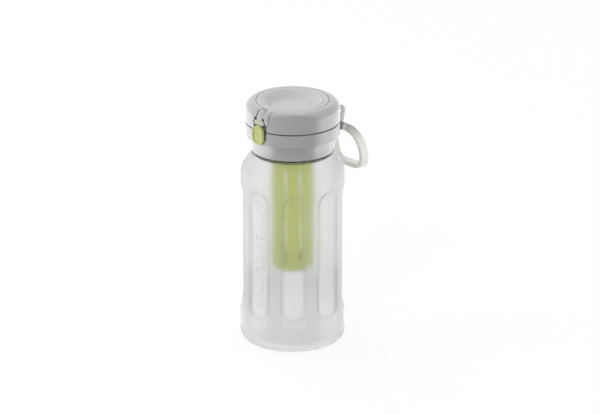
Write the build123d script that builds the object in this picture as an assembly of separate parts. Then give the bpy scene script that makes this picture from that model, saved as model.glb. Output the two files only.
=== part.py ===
from build123d import *
import math
import os

# Fruit infuser water bottle, millimetres.
# The origin is the centre of the base, +Z is up, the button faces -Y and the hinge is at +Y.

# Shared allowances
overrun = 5.0
running_gap = 0.05
sliding_gap = 0.3
free_gap = 0.4

# Bottle body
body_r = 43.0
body_wall = 2.2
base_round_r = 13.0
foot_width = 3.0
base_dimple_rise = 1.8
base_dimple_slope = 3.0
lower_bulge_top = 24.0
waist_depth = 1.1
waist_slope_low = 12.0
grip_height = 92.5
waist_slope_high = 9.5
waist_blend_r = 60.0
upper_bulge_height = 12.1
shoulder_height = 14.9
shoulder_blend_r = 15.5
ledge_width = 2.7
ledge_blend_r = 2.5
neck_r = 30.6
neck_height = 19.0
mouth_round_r = 0.6

# Finger panels round the grip
panel_count = 8
panel_bottom_rise = 3.4
panel_width = 20.9
panel_step_width = 2.9
panel_step_depth = 0.6
panel_floor_depth = 1.2

# Neck gasket
gasket_thickness = 2.0
gasket_inset = 2.6
gasket_overhang = 1.1

# Cap base: collar, flange and deck
collar_gap = 1.5
collar_wall = 2.2
collar_rise = 1.4
collar_straight = 6.1
flare_height = 5.7
flare_blend_r = 12.0
flange_width = 4.85
flange_lip = 1.95
flange_edge_r = 0.6
deck_thickness = 2.2
seam_rise = 2.7
seam_gap = 0.6
rim_width = 5.75
rim_lip_width = 1.6
rim_lip_height = 1.4

# Infuser socket under the deck
socket_r = 15.1
socket_wall = 2.5
socket_length = 12.0
seal_groove_drop = 8.0
seal_ring_r = 0.85

# Drinking spout
spout_bore_r = 7.2
spout_wall = 1.8
spout_drop = 18.0
spout_rise = 8.3
spout_lip = 0.7
spout_lip_height = 2.4
spout_flange_width = 3.4
spout_flange_thickness = 1.4

# Infuser basket and its end cap
infuser_length = 121.7
infuser_wall = 1.65
infuser_deck_gap = 0.8
slot_columns = 8
slot_rows = 2
slot_width = 5.0
slots_rise = 8.0
slots_height = 81.5
slot_bridge = 3.0
end_cap_height = 7.0
end_cap_floor = 1.6
end_cap_plug_height = 4.0
end_cap_plug_wall = 1.5
end_cap_round_r = 2.5
drain_count = 6
drain_r = 1.5
drain_inset = 8.6

# Lid shell
lid_height = 17.3
lid_wall = 2.0
lid_round_r = 6.5
lid_rim_width = 8.75
disc_seat_width = 1.8
disc_seat_thickness = 1.8

# Lid top disc with its dish
disc_thickness = 1.75
disc_edge_gap = 0.1
dish_rim_width = 6.1
dish_slope = 3.8
dish_depth = 4.7
dish_blend_r = 2.0
dish_edge_r = 0.8

# Lid liner and spout seal
liner_fit = 0.2
liner_plate_thickness = 1.6
liner_skirt_wall = 1.8
liner_skirt_depth = 6.4
seal_overlap = 1.3
seal_thickness = 2.2
seal_holder_wall = 1.4
seal_holder_depth = 1.4
seal_dimple_r = 6.4
seal_dimple_depth = 0.8

# Front of the lid: boss, notch and catch
boss_width = 18.0
boss_rise = 1.0
boss_bottom_rise = 5.8
front_block_depth = 2.95
notch_width = 15.0
notch_height = 10.3
notch_round_r = 5.0
notch_wall = 2.0
catch_width = 7.0
catch_reach = 2.0
catch_bottom_rise = 0.7
catch_height = 1.6

# Release button
button_width = 13.5
button_height = 16.4
button_rise = 1.4
button_thickness = 2.3
button_stand_out = 2.75
button_edge_drop = 0.9
button_edge_r = 0.5
button_border = 1.8
button_recess = 0.4
button_axis_inset = 2.05
button_axis_rise = 7.6
button_hub_r = 1.7
button_hub_width = 8.4
button_nib_drop = 2.4
button_nib_height = 1.6
button_nib_reach = 1.1
button_pin_r = 0.8
button_pin_length = 16.8
pocket_depth = 4.05
button_side_gap = 0.4

# Button spring
button_spring_turns = 4
button_spring_pitch = 1.0
button_spring_coil_r = 1.6
button_spring_wire_r = 0.25
button_spring_rise = 2.8

# Lock clasp
clasp_width = 6.2
clasp_thickness = 2.1
clasp_rise = 0.3
clasp_eye_r = 1.6
clasp_axis_inset = 5.55
clasp_pin_r = 0.75
clasp_pin_length = 12.0
hood_width = 10.9
hood_height = 4.0
hood_rise = 1.0
hood_thickness = 3.0
hood_round_r = 1.8

# Hinge
hinge_stand_out = 3.75
hinge_rise = 0.4
knuckle_r = 4.95
lid_knuckle_inner = 4.6
lid_knuckle_outer = 9.2
ear_inner = 9.5
ear_outer = 14.4
relief_gap = 0.4
hinge_pin_r = 1.5
pin_end_recess = 0.3
lid_web_height = 5.0
lid_web_rise = 1.0

# Samples for the printed gap between the turns of a coil
coil_samples = 36
neighbour_share = 0.75

# Hinge spring
hinge_spring_turns = 6
hinge_spring_pitch = 1.2
hinge_spring_coil_r = 3.1
hinge_spring_wire_r = 0.35
hinge_spring_leg = 6.5
hinge_spring_hook = 1.8

# Carry loop and its posts
loop_stand_out = 2.25
loop_drop = 12.1
loop_eye_r = 3.3
loop_strap = 3.3
loop_half_span = 18.1
loop_bar = 4.3
loop_chord = 50.5
loop_chord_angle = 58.5
loop_bow = 8.5
loop_start_width = 5.8
loop_end_width = 8.8
loop_outer_round_r = 9.5
post_r = 1.6
post_head_r = 2.5
post_head_thickness = 0.9
post_seat_depth = 2.0
ear_foot_r = 3.6

# Body heights and radii, from the base up
grip_r = body_r - waist_depth
base_dimple_r = body_r - base_round_r - foot_width - base_dimple_slope
ledge_r = neck_r + ledge_width
grip_bottom = lower_bulge_top + waist_slope_low
grip_top = grip_bottom + grip_height
upper_bulge_bottom = grip_top + waist_slope_high
shoulder_corner = upper_bulge_bottom + upper_bulge_height
ledge_height = shoulder_corner + shoulder_height
neck_top = ledge_height + neck_height
panel_bottom = lower_bulge_top + panel_bottom_rise
panel_top = upper_bulge_bottom

# Cap heights and radii
gasket_in_r = neck_r - gasket_inset
gasket_out_r = neck_r + gasket_overhang
collar_bore_r = neck_r + collar_gap
collar_r = collar_bore_r + collar_wall
flange_r = collar_r + flange_width
well_r = flange_r - rim_width
deck_bottom = neck_top + gasket_thickness
deck_top = deck_bottom + deck_thickness
collar_bottom = ledge_height + collar_rise
collar_flare_height = collar_bottom + collar_straight
flange_bottom = collar_flare_height + flare_height
seam_height = deck_top + seam_rise
base_rim_top = seam_height - seam_gap / 2
spout_r = spout_bore_r + spout_wall
spout_flange_r = spout_r + spout_flange_width
spout_bottom = deck_bottom - spout_drop
spout_top = deck_top + spout_rise

# Infuser heights and radii
infuser_bore_r = socket_r + sliding_gap + running_gap
infuser_r = infuser_bore_r + infuser_wall
infuser_top = deck_bottom - infuser_deck_gap
infuser_bottom = infuser_top - infuser_length
slots_bottom = infuser_bottom + slots_rise
slots_top = slots_bottom + slots_height
drain_circle_r = infuser_r - drain_inset

# Lid heights and radii
lid_bottom = seam_height + seam_gap / 2
lid_top = lid_bottom + lid_height
lid_bore_r = flange_r - lid_wall
disc_seat_r = flange_r - lid_rim_width
dish_r = disc_seat_r - dish_rim_width
dish_floor_r = dish_r - dish_slope
seal_r = spout_r + spout_lip + seal_overlap
seal_bottom = spout_top + sliding_gap
liner_plate_height = seal_bottom + seal_thickness
liner_skirt_bottom = liner_plate_height - liner_skirt_depth
block_r = lid_bore_r - front_block_depth
notch_floor_r = block_r + notch_wall
boss_bottom = lid_bottom + boss_bottom_rise

# Places of the moving fittings
pocket_floor_r = flange_r - pocket_depth
button_crown_r = flange_r + button_stand_out
button_back = button_crown_r - button_thickness
button_bottom = flange_bottom + button_rise
button_top = button_bottom + button_height
button_axis_r = flange_r - button_axis_inset
button_axis_height = button_bottom + button_axis_rise
button_nib_bottom = button_top - button_nib_drop
button_spring_height = button_bottom + button_spring_rise
clasp_axis_r = flange_r - clasp_axis_inset
clasp_axis_height = lid_top - clasp_eye_r
hood_bottom = button_top + free_gap
hood_top = hood_bottom + hood_height
hood_front = flange_r + hood_rise
hinge_axis_y = flange_r + hinge_stand_out
hinge_axis_height = seam_height + hinge_rise
loop_axis_y = flange_r + loop_stand_out
loop_axis_height = hinge_axis_height - loop_drop


def turned(points, radii):
    """Solid turned about the vertical axis from a closed outline of (radius, height) points."""
    outline = FilletPolyline(*points, radius=radii, close=True)
    return revolve(Plane.XZ * make_face(outline), Axis.Z)


def ring(inner_r, outer_r, bottom, top):
    """Plain ring between two radii and two heights."""
    points = [(inner_r, bottom), (outer_r, bottom), (outer_r, top), (inner_r, top)]
    return turned(points, [0] * len(points))


def side_prism(sketch, x_from, x_to):
    """Prism across the bottle: a side view drawn in Y and Z, between two X places."""
    return extrude(Plane.YZ.offset(x_from) * sketch, amount=x_to - x_from)


def front_prism(sketch, y_from, y_to):
    """Prism along Y: a front view drawn in X and Z, between two distances in front of the axis."""
    return extrude(Plane.XZ.offset(y_from) * sketch, amount=y_to - y_from)


def cross_rod(radius, y, z, x_from, x_to):
    """Rod along X."""
    return side_prism(Pos(y, z) * Circle(radius), x_from, x_to)


def mirrored_pair(solid):
    """A solid and its copy on the other side of the bottle."""
    return [solid, mirror(solid, about=Plane.YZ)]


def front_sector(solid, width, radius):
    """The part of a turned solid that lies within a width at the front."""
    keep = Box(width, radius + overrun, lid_top + overrun, align=(Align.CENTER, Align.MAX, Align.MIN))
    return solid & keep


def biarc(start, start_dir, end, end_dir):
    """Two tangent arcs from one point and direction to another."""
    chord = end - start
    both = start_dir + end_dir
    a = both.dot(both) - 4
    b = -2 * chord.dot(both)
    c = chord.dot(chord)
    reach = (-b - math.sqrt(b * b - 4 * a * c)) / (2 * a)
    knee_1 = start + start_dir * reach
    knee_2 = end - end_dir * reach
    joint = (knee_1 + knee_2) / 2
    arcs = []
    for first, knee, last in ((start, knee_1, joint), (joint, knee_2, end)):
        half_turn = (knee - first).get_angle(last - knee) / 2
        weight = math.cos(math.radians(half_turn))
        middle = (first + knee * (2 * weight) + last) / (2 + 2 * weight)
        arcs.append(Edge.make_three_point_arc(first, middle, last))
    return arcs


def coil_edges(place, heading, turns):
    """Edges of a coil, as biarcs of a quarter turn, from functions for its place and heading."""
    edges = []
    steps = turns * 4
    for step in range(steps):
        first = step / 4
        last = (step + 1) / 4
        edges += biarc(place(first), heading(first), place(last), heading(last))
    return edges


def coil_gap(place, turns, wire_r):
    """Least gap between neighbouring turns of a coil, measured on points."""
    samples = [place(i / coil_samples) for i in range(turns * coil_samples + 1)]
    skip = round(coil_samples * neighbour_share)
    least = math.inf
    for i, point in enumerate(samples):
        for other in samples[i + skip:]:
            least = min(least, (point - other).length)
    return least - 2 * wire_r


def wire_solid(edges, wire_r):
    """Round wire swept along connected edges."""
    path = Wire(edges)
    section = Plane(path @ 0, z_dir=path % 0) * Circle(wire_r)
    return sweep(section, path=path)


def panel_slot(width, top, bottom):
    """Upright slot with round ends, drawn in X and Z."""
    middle = (top + bottom) / 2
    return Pos(0, middle) * SlotOverall(top - bottom, width, rotation=90)


def finger_panels(width, inset, inner_r, outer_r):
    """Upright panels round the grip, cut from a ring between two radii."""
    slot = panel_slot(width, panel_top - inset, panel_bottom + inset)
    prism = front_prism(slot, inner_r / 2, outer_r + overrun)
    one = prism & ring(inner_r, outer_r, 0, lid_top)
    return [Rot(0, 0, 360 / panel_count * i) * one for i in range(panel_count)]


def body_blank(inset, top):
    """Filled outline of the body, inset by a wall."""
    slope = math.atan2(body_r - ledge_r, ledge_height - shoulder_corner)
    drop = inset * math.tan(slope / 2)
    ledge_shift = inset * math.tan((math.pi / 2 - slope) / 2)
    foot_r = base_dimple_r + base_dimple_slope
    points = [
        (0, base_dimple_rise + inset),
        (base_dimple_r, base_dimple_rise + inset),
        (foot_r, inset),
        (body_r - inset, inset),
        (body_r - inset, lower_bulge_top),
        (grip_r - inset, grip_bottom),
        (grip_r - inset, grip_top),
        (body_r - inset, upper_bulge_bottom),
        (body_r - inset, shoulder_corner - drop),
        (ledge_r - ledge_shift, ledge_height - inset),
        (neck_r - inset, ledge_height - inset),
        (neck_r - inset, top),
        (0, top),
    ]
    radii = [
        0,
        0,
        0,
        base_round_r - inset,
        waist_blend_r,
        waist_blend_r,
        waist_blend_r,
        waist_blend_r,
        shoulder_blend_r - inset,
        ledge_blend_r if inset == 0 else 0,
        0,
        0,
        0,
    ]
    return turned(points, radii)


def make_bottle_shell():
    outside = body_blank(0, neck_top)
    inside = body_blank(body_wall, neck_top + overrun)
    shell = outside - inside
    floor_r = grip_r - panel_floor_depth
    step_r = grip_r - panel_step_depth
    narrow = panel_width - 2 * panel_step_width
    pads = finger_panels(panel_width, 0, floor_r - body_wall, grip_r - body_wall / 2)
    shell = shell + pads
    shell = shell - finger_panels(panel_width, 0, step_r, body_r + overrun)
    shell = shell - finger_panels(narrow, panel_step_width, floor_r, body_r + overrun)
    mouth = shell.edges().filter_by(GeomType.CIRCLE).group_by(Axis.Z)[-1]
    return fillet(mouth, mouth_round_r)


def make_neck_gasket():
    return ring(gasket_in_r, gasket_out_r, neck_top, deck_bottom)


def cap_base_blank():
    """Turned blank of the collar, flange, deck and infuser socket."""
    socket_bottom = deck_bottom - socket_length
    socket_in_r = socket_r - socket_wall
    deck_hole_r = spout_r + running_gap
    points = [
        (collar_bore_r, collar_bottom),
        (collar_r, collar_bottom),
        (collar_r, collar_flare_height),
        (flange_r - flange_lip, flange_bottom),
        (flange_r, flange_bottom),
        (flange_r, base_rim_top),
        (well_r + rim_lip_width, base_rim_top),
        (well_r + rim_lip_width, base_rim_top + rim_lip_height),
        (well_r, base_rim_top + rim_lip_height),
        (well_r, deck_top),
        (deck_hole_r, deck_top),
        (deck_hole_r, deck_bottom),
        (socket_in_r, deck_bottom),
        (socket_in_r, socket_bottom),
        (socket_r, socket_bottom),
        (socket_r, deck_bottom),
        (collar_bore_r, deck_bottom),
    ]
    radii = [0] * len(points)
    radii[2] = flare_blend_r
    radii[4] = flange_edge_r
    return turned(points, radii)


def seal_groove():
    """Groove for the ring on the infuser socket."""
    middle = deck_bottom - seal_groove_drop
    half = seal_ring_r + running_gap
    return ring(socket_r - 2 * half, socket_r + overrun, middle - half, middle + half)


def ear_profile():
    """Side view of one hinge ear, from the knuckle down to the loop's post."""
    knuckle = Pos(hinge_axis_y, hinge_axis_height) * Circle(knuckle_r)
    foot = Pos(loop_axis_y, loop_axis_height) * Circle(ear_foot_r)
    arm = make_hull((knuckle + foot).edges())
    web_top = hinge_axis_height - knuckle_r / 2
    web_bottom = flange_bottom + flange_edge_r
    web_depth = loop_axis_y - well_r
    web = Pos(well_r + web_depth / 2, (web_top + web_bottom) / 2)
    return arm + web * Rectangle(web_depth, web_top - web_bottom)


def button_pocket():
    """Pocket in the flange behind the button, with room for its hub and spring."""
    slot = panel_slot(button_width + 2 * button_side_gap, button_top, button_bottom - button_side_gap)
    return front_prism(slot, pocket_floor_r, flange_r + overrun)


def make_cap_base():
    base = cap_base_blank() - seal_groove()
    ear_cut = ring(0, well_r + rim_width / 2, 0, lid_top)
    ear = side_prism(ear_profile(), ear_inner, ear_outer) - ear_cut
    base = base + mirrored_pair(ear)
    relief_half = lid_knuckle_outer + running_gap + relief_gap / 2
    relief_r = knuckle_r + relief_gap
    base = base - cross_rod(relief_r, hinge_axis_y, hinge_axis_height, -relief_half, relief_half)
    base = base - cross_rod(hinge_pin_r, hinge_axis_y, hinge_axis_height, -ear_outer, ear_outer)
    post_hole = cross_rod(
        post_r, loop_axis_y, loop_axis_height, ear_outer - post_seat_depth, ear_outer + overrun
    )
    base = base - mirrored_pair(post_hole)
    base = base - button_pocket()
    half_pin = button_pin_length / 2
    base = base - cross_rod(button_pin_r, -button_axis_r, button_axis_height, -half_pin, half_pin)
    lip_half = boss_width / 2 + free_gap
    lip_band = Pos(0, base_rim_top + rim_lip_height / 2) * Rectangle(2 * lip_half, rim_lip_height)
    return base - front_prism(lip_band, well_r / 2, flange_r)


def make_infuser_seal():
    middle = deck_bottom - seal_groove_drop
    return Pos(0, 0, middle) * Torus(socket_r - seal_ring_r - running_gap, seal_ring_r)


def make_drink_spout():
    lip_r = spout_r + spout_lip
    lip_bottom = spout_top - spout_lip_height
    flange_top = deck_top + spout_flange_thickness
    points = [
        (spout_bore_r, spout_bottom),
        (spout_r, spout_bottom),
        (spout_r, deck_top),
        (spout_flange_r, deck_top),
        (spout_flange_r, flange_top),
        (spout_r, flange_top),
        (spout_r, lip_bottom),
        (lip_r, lip_bottom),
        (lip_r, spout_top),
        (spout_bore_r, spout_top),
    ]
    radii = [0] * len(points)
    radii[5] = spout_flange_thickness / 2
    radii[7] = spout_lip / 2
    radii[8] = spout_lip
    radii[9] = spout_lip
    return turned(points, radii)


def infuser_slots():
    """Columns of upright slots, in rows with a bridge between them."""
    row_height = (slots_top - slots_bottom - slot_bridge * (slot_rows - 1)) / slot_rows
    tools = []
    for row in range(slot_rows):
        bottom = slots_bottom + row * (row_height + slot_bridge)
        slot = panel_slot(slot_width, bottom + row_height, bottom)
        prism = front_prism(slot, infuser_bore_r / 2, infuser_r + overrun)
        for column in range(slot_columns):
            tools.append(Rot(0, 0, 360 / slot_columns * (column + 1 / 2)) * prism)
    return tools


def make_infuser_basket():
    tube = ring(infuser_bore_r, infuser_r, infuser_bottom + end_cap_floor, infuser_top)
    skirt_r = (infuser_bore_r + infuser_r) / 2
    step = ring(skirt_r, infuser_r + overrun, 0, infuser_bottom + end_cap_height + running_gap)
    return tube - step - infuser_slots()


def make_infuser_end_cap():
    top = infuser_bottom + end_cap_height
    skirt_in_r = (infuser_bore_r + infuser_r) / 2 + running_gap
    floor_top = infuser_bottom + end_cap_floor - running_gap
    points = [
        (0, infuser_bottom),
        (infuser_r, infuser_bottom),
        (infuser_r, top),
        (skirt_in_r, top),
        (skirt_in_r, floor_top),
        (0, floor_top),
    ]
    radii = [0] * len(points)
    radii[1] = end_cap_round_r
    cap = turned(points, radii)
    plug_r = infuser_bore_r - sliding_gap
    cap = cap + ring(plug_r - end_cap_plug_wall, plug_r, infuser_bottom, floor_top + end_cap_plug_height)
    for i in range(drain_count):
        hole = Pos(drain_circle_r, 0, infuser_bottom) * Cylinder(drain_r, 2 * overrun)
        cap = cap - Rot(0, 0, 360 / drain_count * i) * hole
    return cap


def lid_blank():
    """Turned shell of the lid with the seat for its top disc."""
    seat_top = lid_top - disc_thickness
    roof_bottom = seat_top - disc_seat_thickness
    seat_in_r = disc_seat_r - disc_seat_width
    points = [
        (flange_r, lid_bottom),
        (flange_r, lid_top),
        (disc_seat_r, lid_top),
        (disc_seat_r, seat_top),
        (seat_in_r, seat_top),
        (seat_in_r, roof_bottom),
        (lid_bore_r, roof_bottom),
        (lid_bore_r, lid_bottom),
    ]
    radii = [0] * len(points)
    radii[1] = lid_round_r
    radii[6] = lid_round_r - lid_wall
    return turned(points, radii)


def front_block():
    """Solid front of the lid behind the notch, and the raised boss round the clasp."""
    roof_bottom = lid_top - disc_thickness - disc_seat_thickness
    points = [
        (block_r, lid_bottom),
        (flange_r - lid_wall / 2, lid_bottom),
        (flange_r - lid_wall / 2, roof_bottom),
        (disc_seat_r + boss_rise, roof_bottom),
        (disc_seat_r + boss_rise, roof_bottom - disc_seat_thickness),
        (block_r, roof_bottom - 2 * disc_seat_thickness),
    ]
    block = front_sector(turned(points, [0] * len(points)), boss_width, flange_r)
    boss_r = flange_r + boss_rise
    points = [
        (flange_r - lid_wall / 2, boss_bottom),
        (boss_r, boss_bottom),
        (boss_r, lid_top),
        (flange_r - lid_round_r, lid_top),
        (flange_r - lid_round_r, roof_bottom),
        (flange_r - lid_wall / 2, roof_bottom),
    ]
    radii = [0, boss_rise / 2, lid_round_r, 0, 0, 0]
    return block + front_sector(turned(points, radii), boss_width, boss_r)


def clasp_strap(rise, grow, half_width):
    """The strap's band round the lid's shoulder, with its eye, grown by a clearance."""
    bend_y = -(flange_r - lid_round_r)
    bend_height = lid_top - lid_round_r
    outer_r = lid_round_r + rise + grow
    inner_r = lid_round_r + clasp_rise - clasp_thickness - grow
    bend = Pos(bend_y, bend_height) * (Circle(outer_r) - Circle(inner_r))
    front_only = Pos(-clasp_axis_r - outer_r, bend_height + outer_r) * Rectangle(2 * outer_r, 2 * outer_r)
    drop = bend_height - hood_bottom - hood_round_r
    leg_middle = Pos(bend_y - (outer_r + inner_r) / 2, bend_height - drop / 2)
    leg = leg_middle * Rectangle(outer_r - inner_r, drop)
    eye = Pos(-clasp_axis_r, clasp_axis_height) * Circle(clasp_eye_r + grow)
    return side_prism((bend & front_only) + leg + eye, -half_width, half_width)


def hood_shape():
    """Front view of the hood above the button."""
    height = hood_top - hood_bottom
    middle = (hood_top + hood_bottom) / 2
    return Pos(0, middle) * RectangleRounded(hood_width, height, hood_round_r)


def clasp_room():
    """Room in the lid for the clasp: its channel, the end of its swing, and the path of its hood."""
    half_width = clasp_width / 2 + sliding_gap
    channel = clasp_strap(clasp_rise + boss_rise, sliding_gap, half_width)
    end_r = clasp_eye_r + sliding_gap
    end_view = Pos(end_r / 2 - clasp_axis_r, clasp_axis_height + end_r) * Rectangle(end_r, 2 * end_r)
    swing_end = side_prism(end_view, -half_width, half_width)
    edge_depth = hood_front - hood_thickness - clasp_axis_r
    path_r = math.hypot(edge_depth, clasp_axis_height - hood_top) - sliding_gap
    rise = lid_top - hood_top
    path_view = Pos(-notch_floor_r - rise / 2, hood_top + rise / 2) * Rectangle(rise, rise)
    path_view = path_view - Pos(-clasp_axis_r, clasp_axis_height) * Circle(path_r)
    path_half = hood_width / 2 + sliding_gap
    return [channel, swing_end, side_prism(path_view, -path_half, path_half)]


def make_lid_shell():
    lid = lid_blank() + front_block()
    notch = Pos(0, lid_bottom) * RectangleRounded(notch_width, 2 * notch_height, notch_round_r)
    lid = lid - front_prism(notch, notch_floor_r, flange_r + overrun)
    below = Pos(0, lid_bottom - overrun / 2) * Rectangle(notch_width, overrun)
    lid = lid - front_prism(below, block_r / 2, flange_r + overrun)
    lid = lid - clasp_room()
    catch_bottom = lid_bottom + catch_bottom_rise
    catch_ledge = Pos(0, catch_bottom + catch_height / 2) * Rectangle(catch_width, catch_height)
    lid = lid + front_prism(catch_ledge, notch_floor_r - notch_wall / 2, notch_floor_r + catch_reach)
    knuckle = Circle(knuckle_r)
    web_middle = lid_web_rise + lid_web_height / 2
    web = Pos(lid_bore_r + lid_wall / 2 - hinge_axis_y, web_middle) * Rectangle(lid_wall / 2, lid_web_height)
    side_view = Pos(hinge_axis_y, hinge_axis_height) * make_hull((knuckle + web).edges())
    lid = lid + mirrored_pair(side_prism(side_view, lid_knuckle_inner, lid_knuckle_outer))
    relief = cross_rod(
        knuckle_r + relief_gap,
        hinge_axis_y,
        hinge_axis_height,
        lid_knuckle_outer,
        ear_outer + sliding_gap,
    )
    lid = lid - mirrored_pair(relief)
    pin_hole_r = hinge_pin_r + running_gap
    lid = lid - cross_rod(pin_hole_r, hinge_axis_y, hinge_axis_height, -lid_knuckle_outer, lid_knuckle_outer)
    half_pin = clasp_pin_length / 2
    return lid - cross_rod(clasp_pin_r, -clasp_axis_r, clasp_axis_height, -half_pin, half_pin)


def make_lid_top_disc():
    edge_r = disc_seat_r - disc_edge_gap
    seat_top = lid_top - disc_thickness
    floor_top = lid_top - dish_depth
    points = [
        (0, floor_top),
        (dish_floor_r, floor_top),
        (dish_r, lid_top),
        (edge_r, lid_top),
        (edge_r, seat_top),
        (dish_r + disc_thickness / 2, seat_top),
        (dish_floor_r + disc_thickness / 2, floor_top - disc_thickness),
        (0, floor_top - disc_thickness),
    ]
    radii = [0, dish_blend_r, dish_edge_r, dish_edge_r / 2, 0, 0, dish_blend_r, 0]
    return turned(points, radii)


def make_lid_liner():
    outer_r = lid_bore_r - liner_fit
    plate_top = liner_plate_height + liner_plate_thickness
    skirt_in_r = outer_r - liner_skirt_wall
    holder_in_r = seal_r + running_gap
    holder_out_r = holder_in_r + seal_holder_wall
    holder_bottom = liner_plate_height - seal_holder_depth
    points = [
        (0, liner_plate_height),
        (holder_in_r, liner_plate_height),
        (holder_in_r, holder_bottom),
        (holder_out_r, holder_bottom),
        (holder_out_r, liner_plate_height),
        (skirt_in_r, liner_plate_height),
        (skirt_in_r, liner_skirt_bottom),
        (outer_r, liner_skirt_bottom),
        (outer_r, plate_top),
        (0, plate_top),
    ]
    radii = [0] * len(points)
    radii[5] = liner_skirt_wall / 2
    radii[8] = liner_skirt_wall / 2
    liner = turned(points, radii)
    cut_half = boss_width / 2 + liner_fit
    cut_face_y = math.sqrt(block_r**2 - cut_half**2) - liner_fit
    cut_view = Pos(0, lid_top / 2) * Rectangle(2 * cut_half, lid_top)
    return liner - front_prism(cut_view, cut_face_y, flange_r)


def make_lid_seal():
    points = [
        (0, seal_bottom + seal_dimple_depth),
        (seal_dimple_r, seal_bottom + seal_dimple_depth),
        (seal_dimple_r + seal_dimple_depth / 2, seal_bottom),
        (seal_r, seal_bottom),
        (seal_r, liner_plate_height),
        (0, liner_plate_height),
    ]
    radii = [0] * len(points)
    radii[3] = seal_dimple_depth / 2
    return turned(points, radii)


def make_hinge_pin():
    half = ear_outer - pin_end_recess
    pin = cross_rod(hinge_pin_r, hinge_axis_y, hinge_axis_height, -half, half)
    rims = pin.edges().filter_by(GeomType.CIRCLE)
    return chamfer(rims, pin_end_recess)


def make_hinge_spring():
    half_length = hinge_spring_turns * hinge_spring_pitch / 2

    def place(turn):
        angle = 2 * math.pi * turn - math.pi
        return Vector(
            turn * hinge_spring_pitch - half_length,
            hinge_axis_y + hinge_spring_coil_r * math.cos(angle),
            hinge_axis_height + hinge_spring_coil_r * math.sin(angle),
        )

    def heading(turn):
        angle = 2 * math.pi * turn - math.pi
        rate = 2 * math.pi * hinge_spring_coil_r
        return Vector(
            hinge_spring_pitch, -rate * math.sin(angle), rate * math.cos(angle)
        ).normalized()

    print("hinge spring gap", round(coil_gap(place, hinge_spring_turns, hinge_spring_wire_r), 3))
    start = place(0)
    end = place(hinge_spring_turns)
    leg = Edge.make_line(start - heading(0) * hinge_spring_leg, start)
    tip = Edge.make_line(end, end + heading(hinge_spring_turns) * hinge_spring_hook)
    edges = [leg] + coil_edges(place, heading, hinge_spring_turns) + [tip]
    return wire_solid(edges, hinge_spring_wire_r)


def make_release_button():
    slot = panel_slot(button_width, button_top, button_bottom)
    middle = (button_top + button_bottom) / 2
    edge_r = button_crown_r - button_edge_drop
    low_edge = (-edge_r, button_bottom)
    high_edge = (-edge_r, button_top)
    back = Polyline(low_edge, (-button_back, button_bottom), (-button_back, button_top), high_edge)
    side_view = make_face(back + ThreePointArc(high_edge, (-button_crown_r, middle), low_edge))
    plate = front_prism(slot, button_back, button_crown_r + overrun)
    plate = plate & side_prism(side_view, -button_width, button_width)
    outer_edges = plate.edges().filter_by(lambda e: e.center().Y < -button_back - button_edge_drop / 2)
    plate = fillet(outer_edges, button_edge_r)
    recess = panel_slot(
        button_width - 2 * button_border, button_top - button_border, button_bottom + button_border
    )
    recess = front_prism(recess, button_back, button_crown_r + overrun)
    crown = Pos(0, button_recess) * side_prism(side_view, -button_width, button_width)
    plate = plate - (recess - crown)
    hub = cross_rod(
        button_hub_r, -button_axis_r, button_axis_height, -button_hub_width / 2, button_hub_width / 2
    )
    stem_view = Pos(0, button_axis_height) * Rectangle(button_hub_width, 2 * button_hub_r)
    stem = front_prism(stem_view, button_axis_r, button_back + button_recess)
    nib_view = Pos(0, button_nib_bottom + button_nib_height / 2) * Rectangle(catch_width, button_nib_height)
    nib = front_prism(nib_view, button_back - button_nib_reach, button_back + button_recess)
    button = plate + hub + stem + nib
    hole_r = button_pin_r + running_gap
    return button - cross_rod(hole_r, -button_axis_r, button_axis_height, -button_width, button_width)


def make_button_pin():
    half = button_pin_length / 2
    return cross_rod(button_pin_r, -button_axis_r, button_axis_height, -half, half)


def make_button_spring():
    length = button_spring_turns * button_spring_pitch
    first_y = -pocket_floor_r - button_spring_wire_r

    def place(turn):
        angle = 2 * math.pi * turn
        return Vector(
            button_spring_coil_r * math.cos(angle),
            first_y - turn * button_spring_pitch,
            button_spring_height + button_spring_coil_r * math.sin(angle),
        )

    def heading(turn):
        angle = 2 * math.pi * turn
        rate = 2 * math.pi * button_spring_coil_r
        return Vector(
            -rate * math.sin(angle), -button_spring_pitch, rate * math.cos(angle)
        ).normalized()

    print("button spring gap", round(coil_gap(place, button_spring_turns, button_spring_wire_r), 3))
    print("button spring end to plate", round(button_back + first_y - length - button_spring_wire_r, 3))
    return wire_solid(coil_edges(place, heading, button_spring_turns), button_spring_wire_r)


def make_lock_clasp():
    strap = clasp_strap(clasp_rise, 0, clasp_width / 2)
    hood = front_prism(hood_shape(), hood_front - hood_thickness, hood_front)
    rim = hood.edges().group_by(Axis.Y)[0]
    hood = fillet(rim, hood_rise / 2)
    clasp = strap + hood
    hole_r = clasp_pin_r + running_gap
    return clasp - cross_rod(hole_r, -clasp_axis_r, clasp_axis_height, -clasp_width, clasp_width)


def make_clasp_pin():
    half = clasp_pin_length / 2
    return cross_rod(clasp_pin_r, -clasp_axis_r, clasp_axis_height, -half, half)


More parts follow.
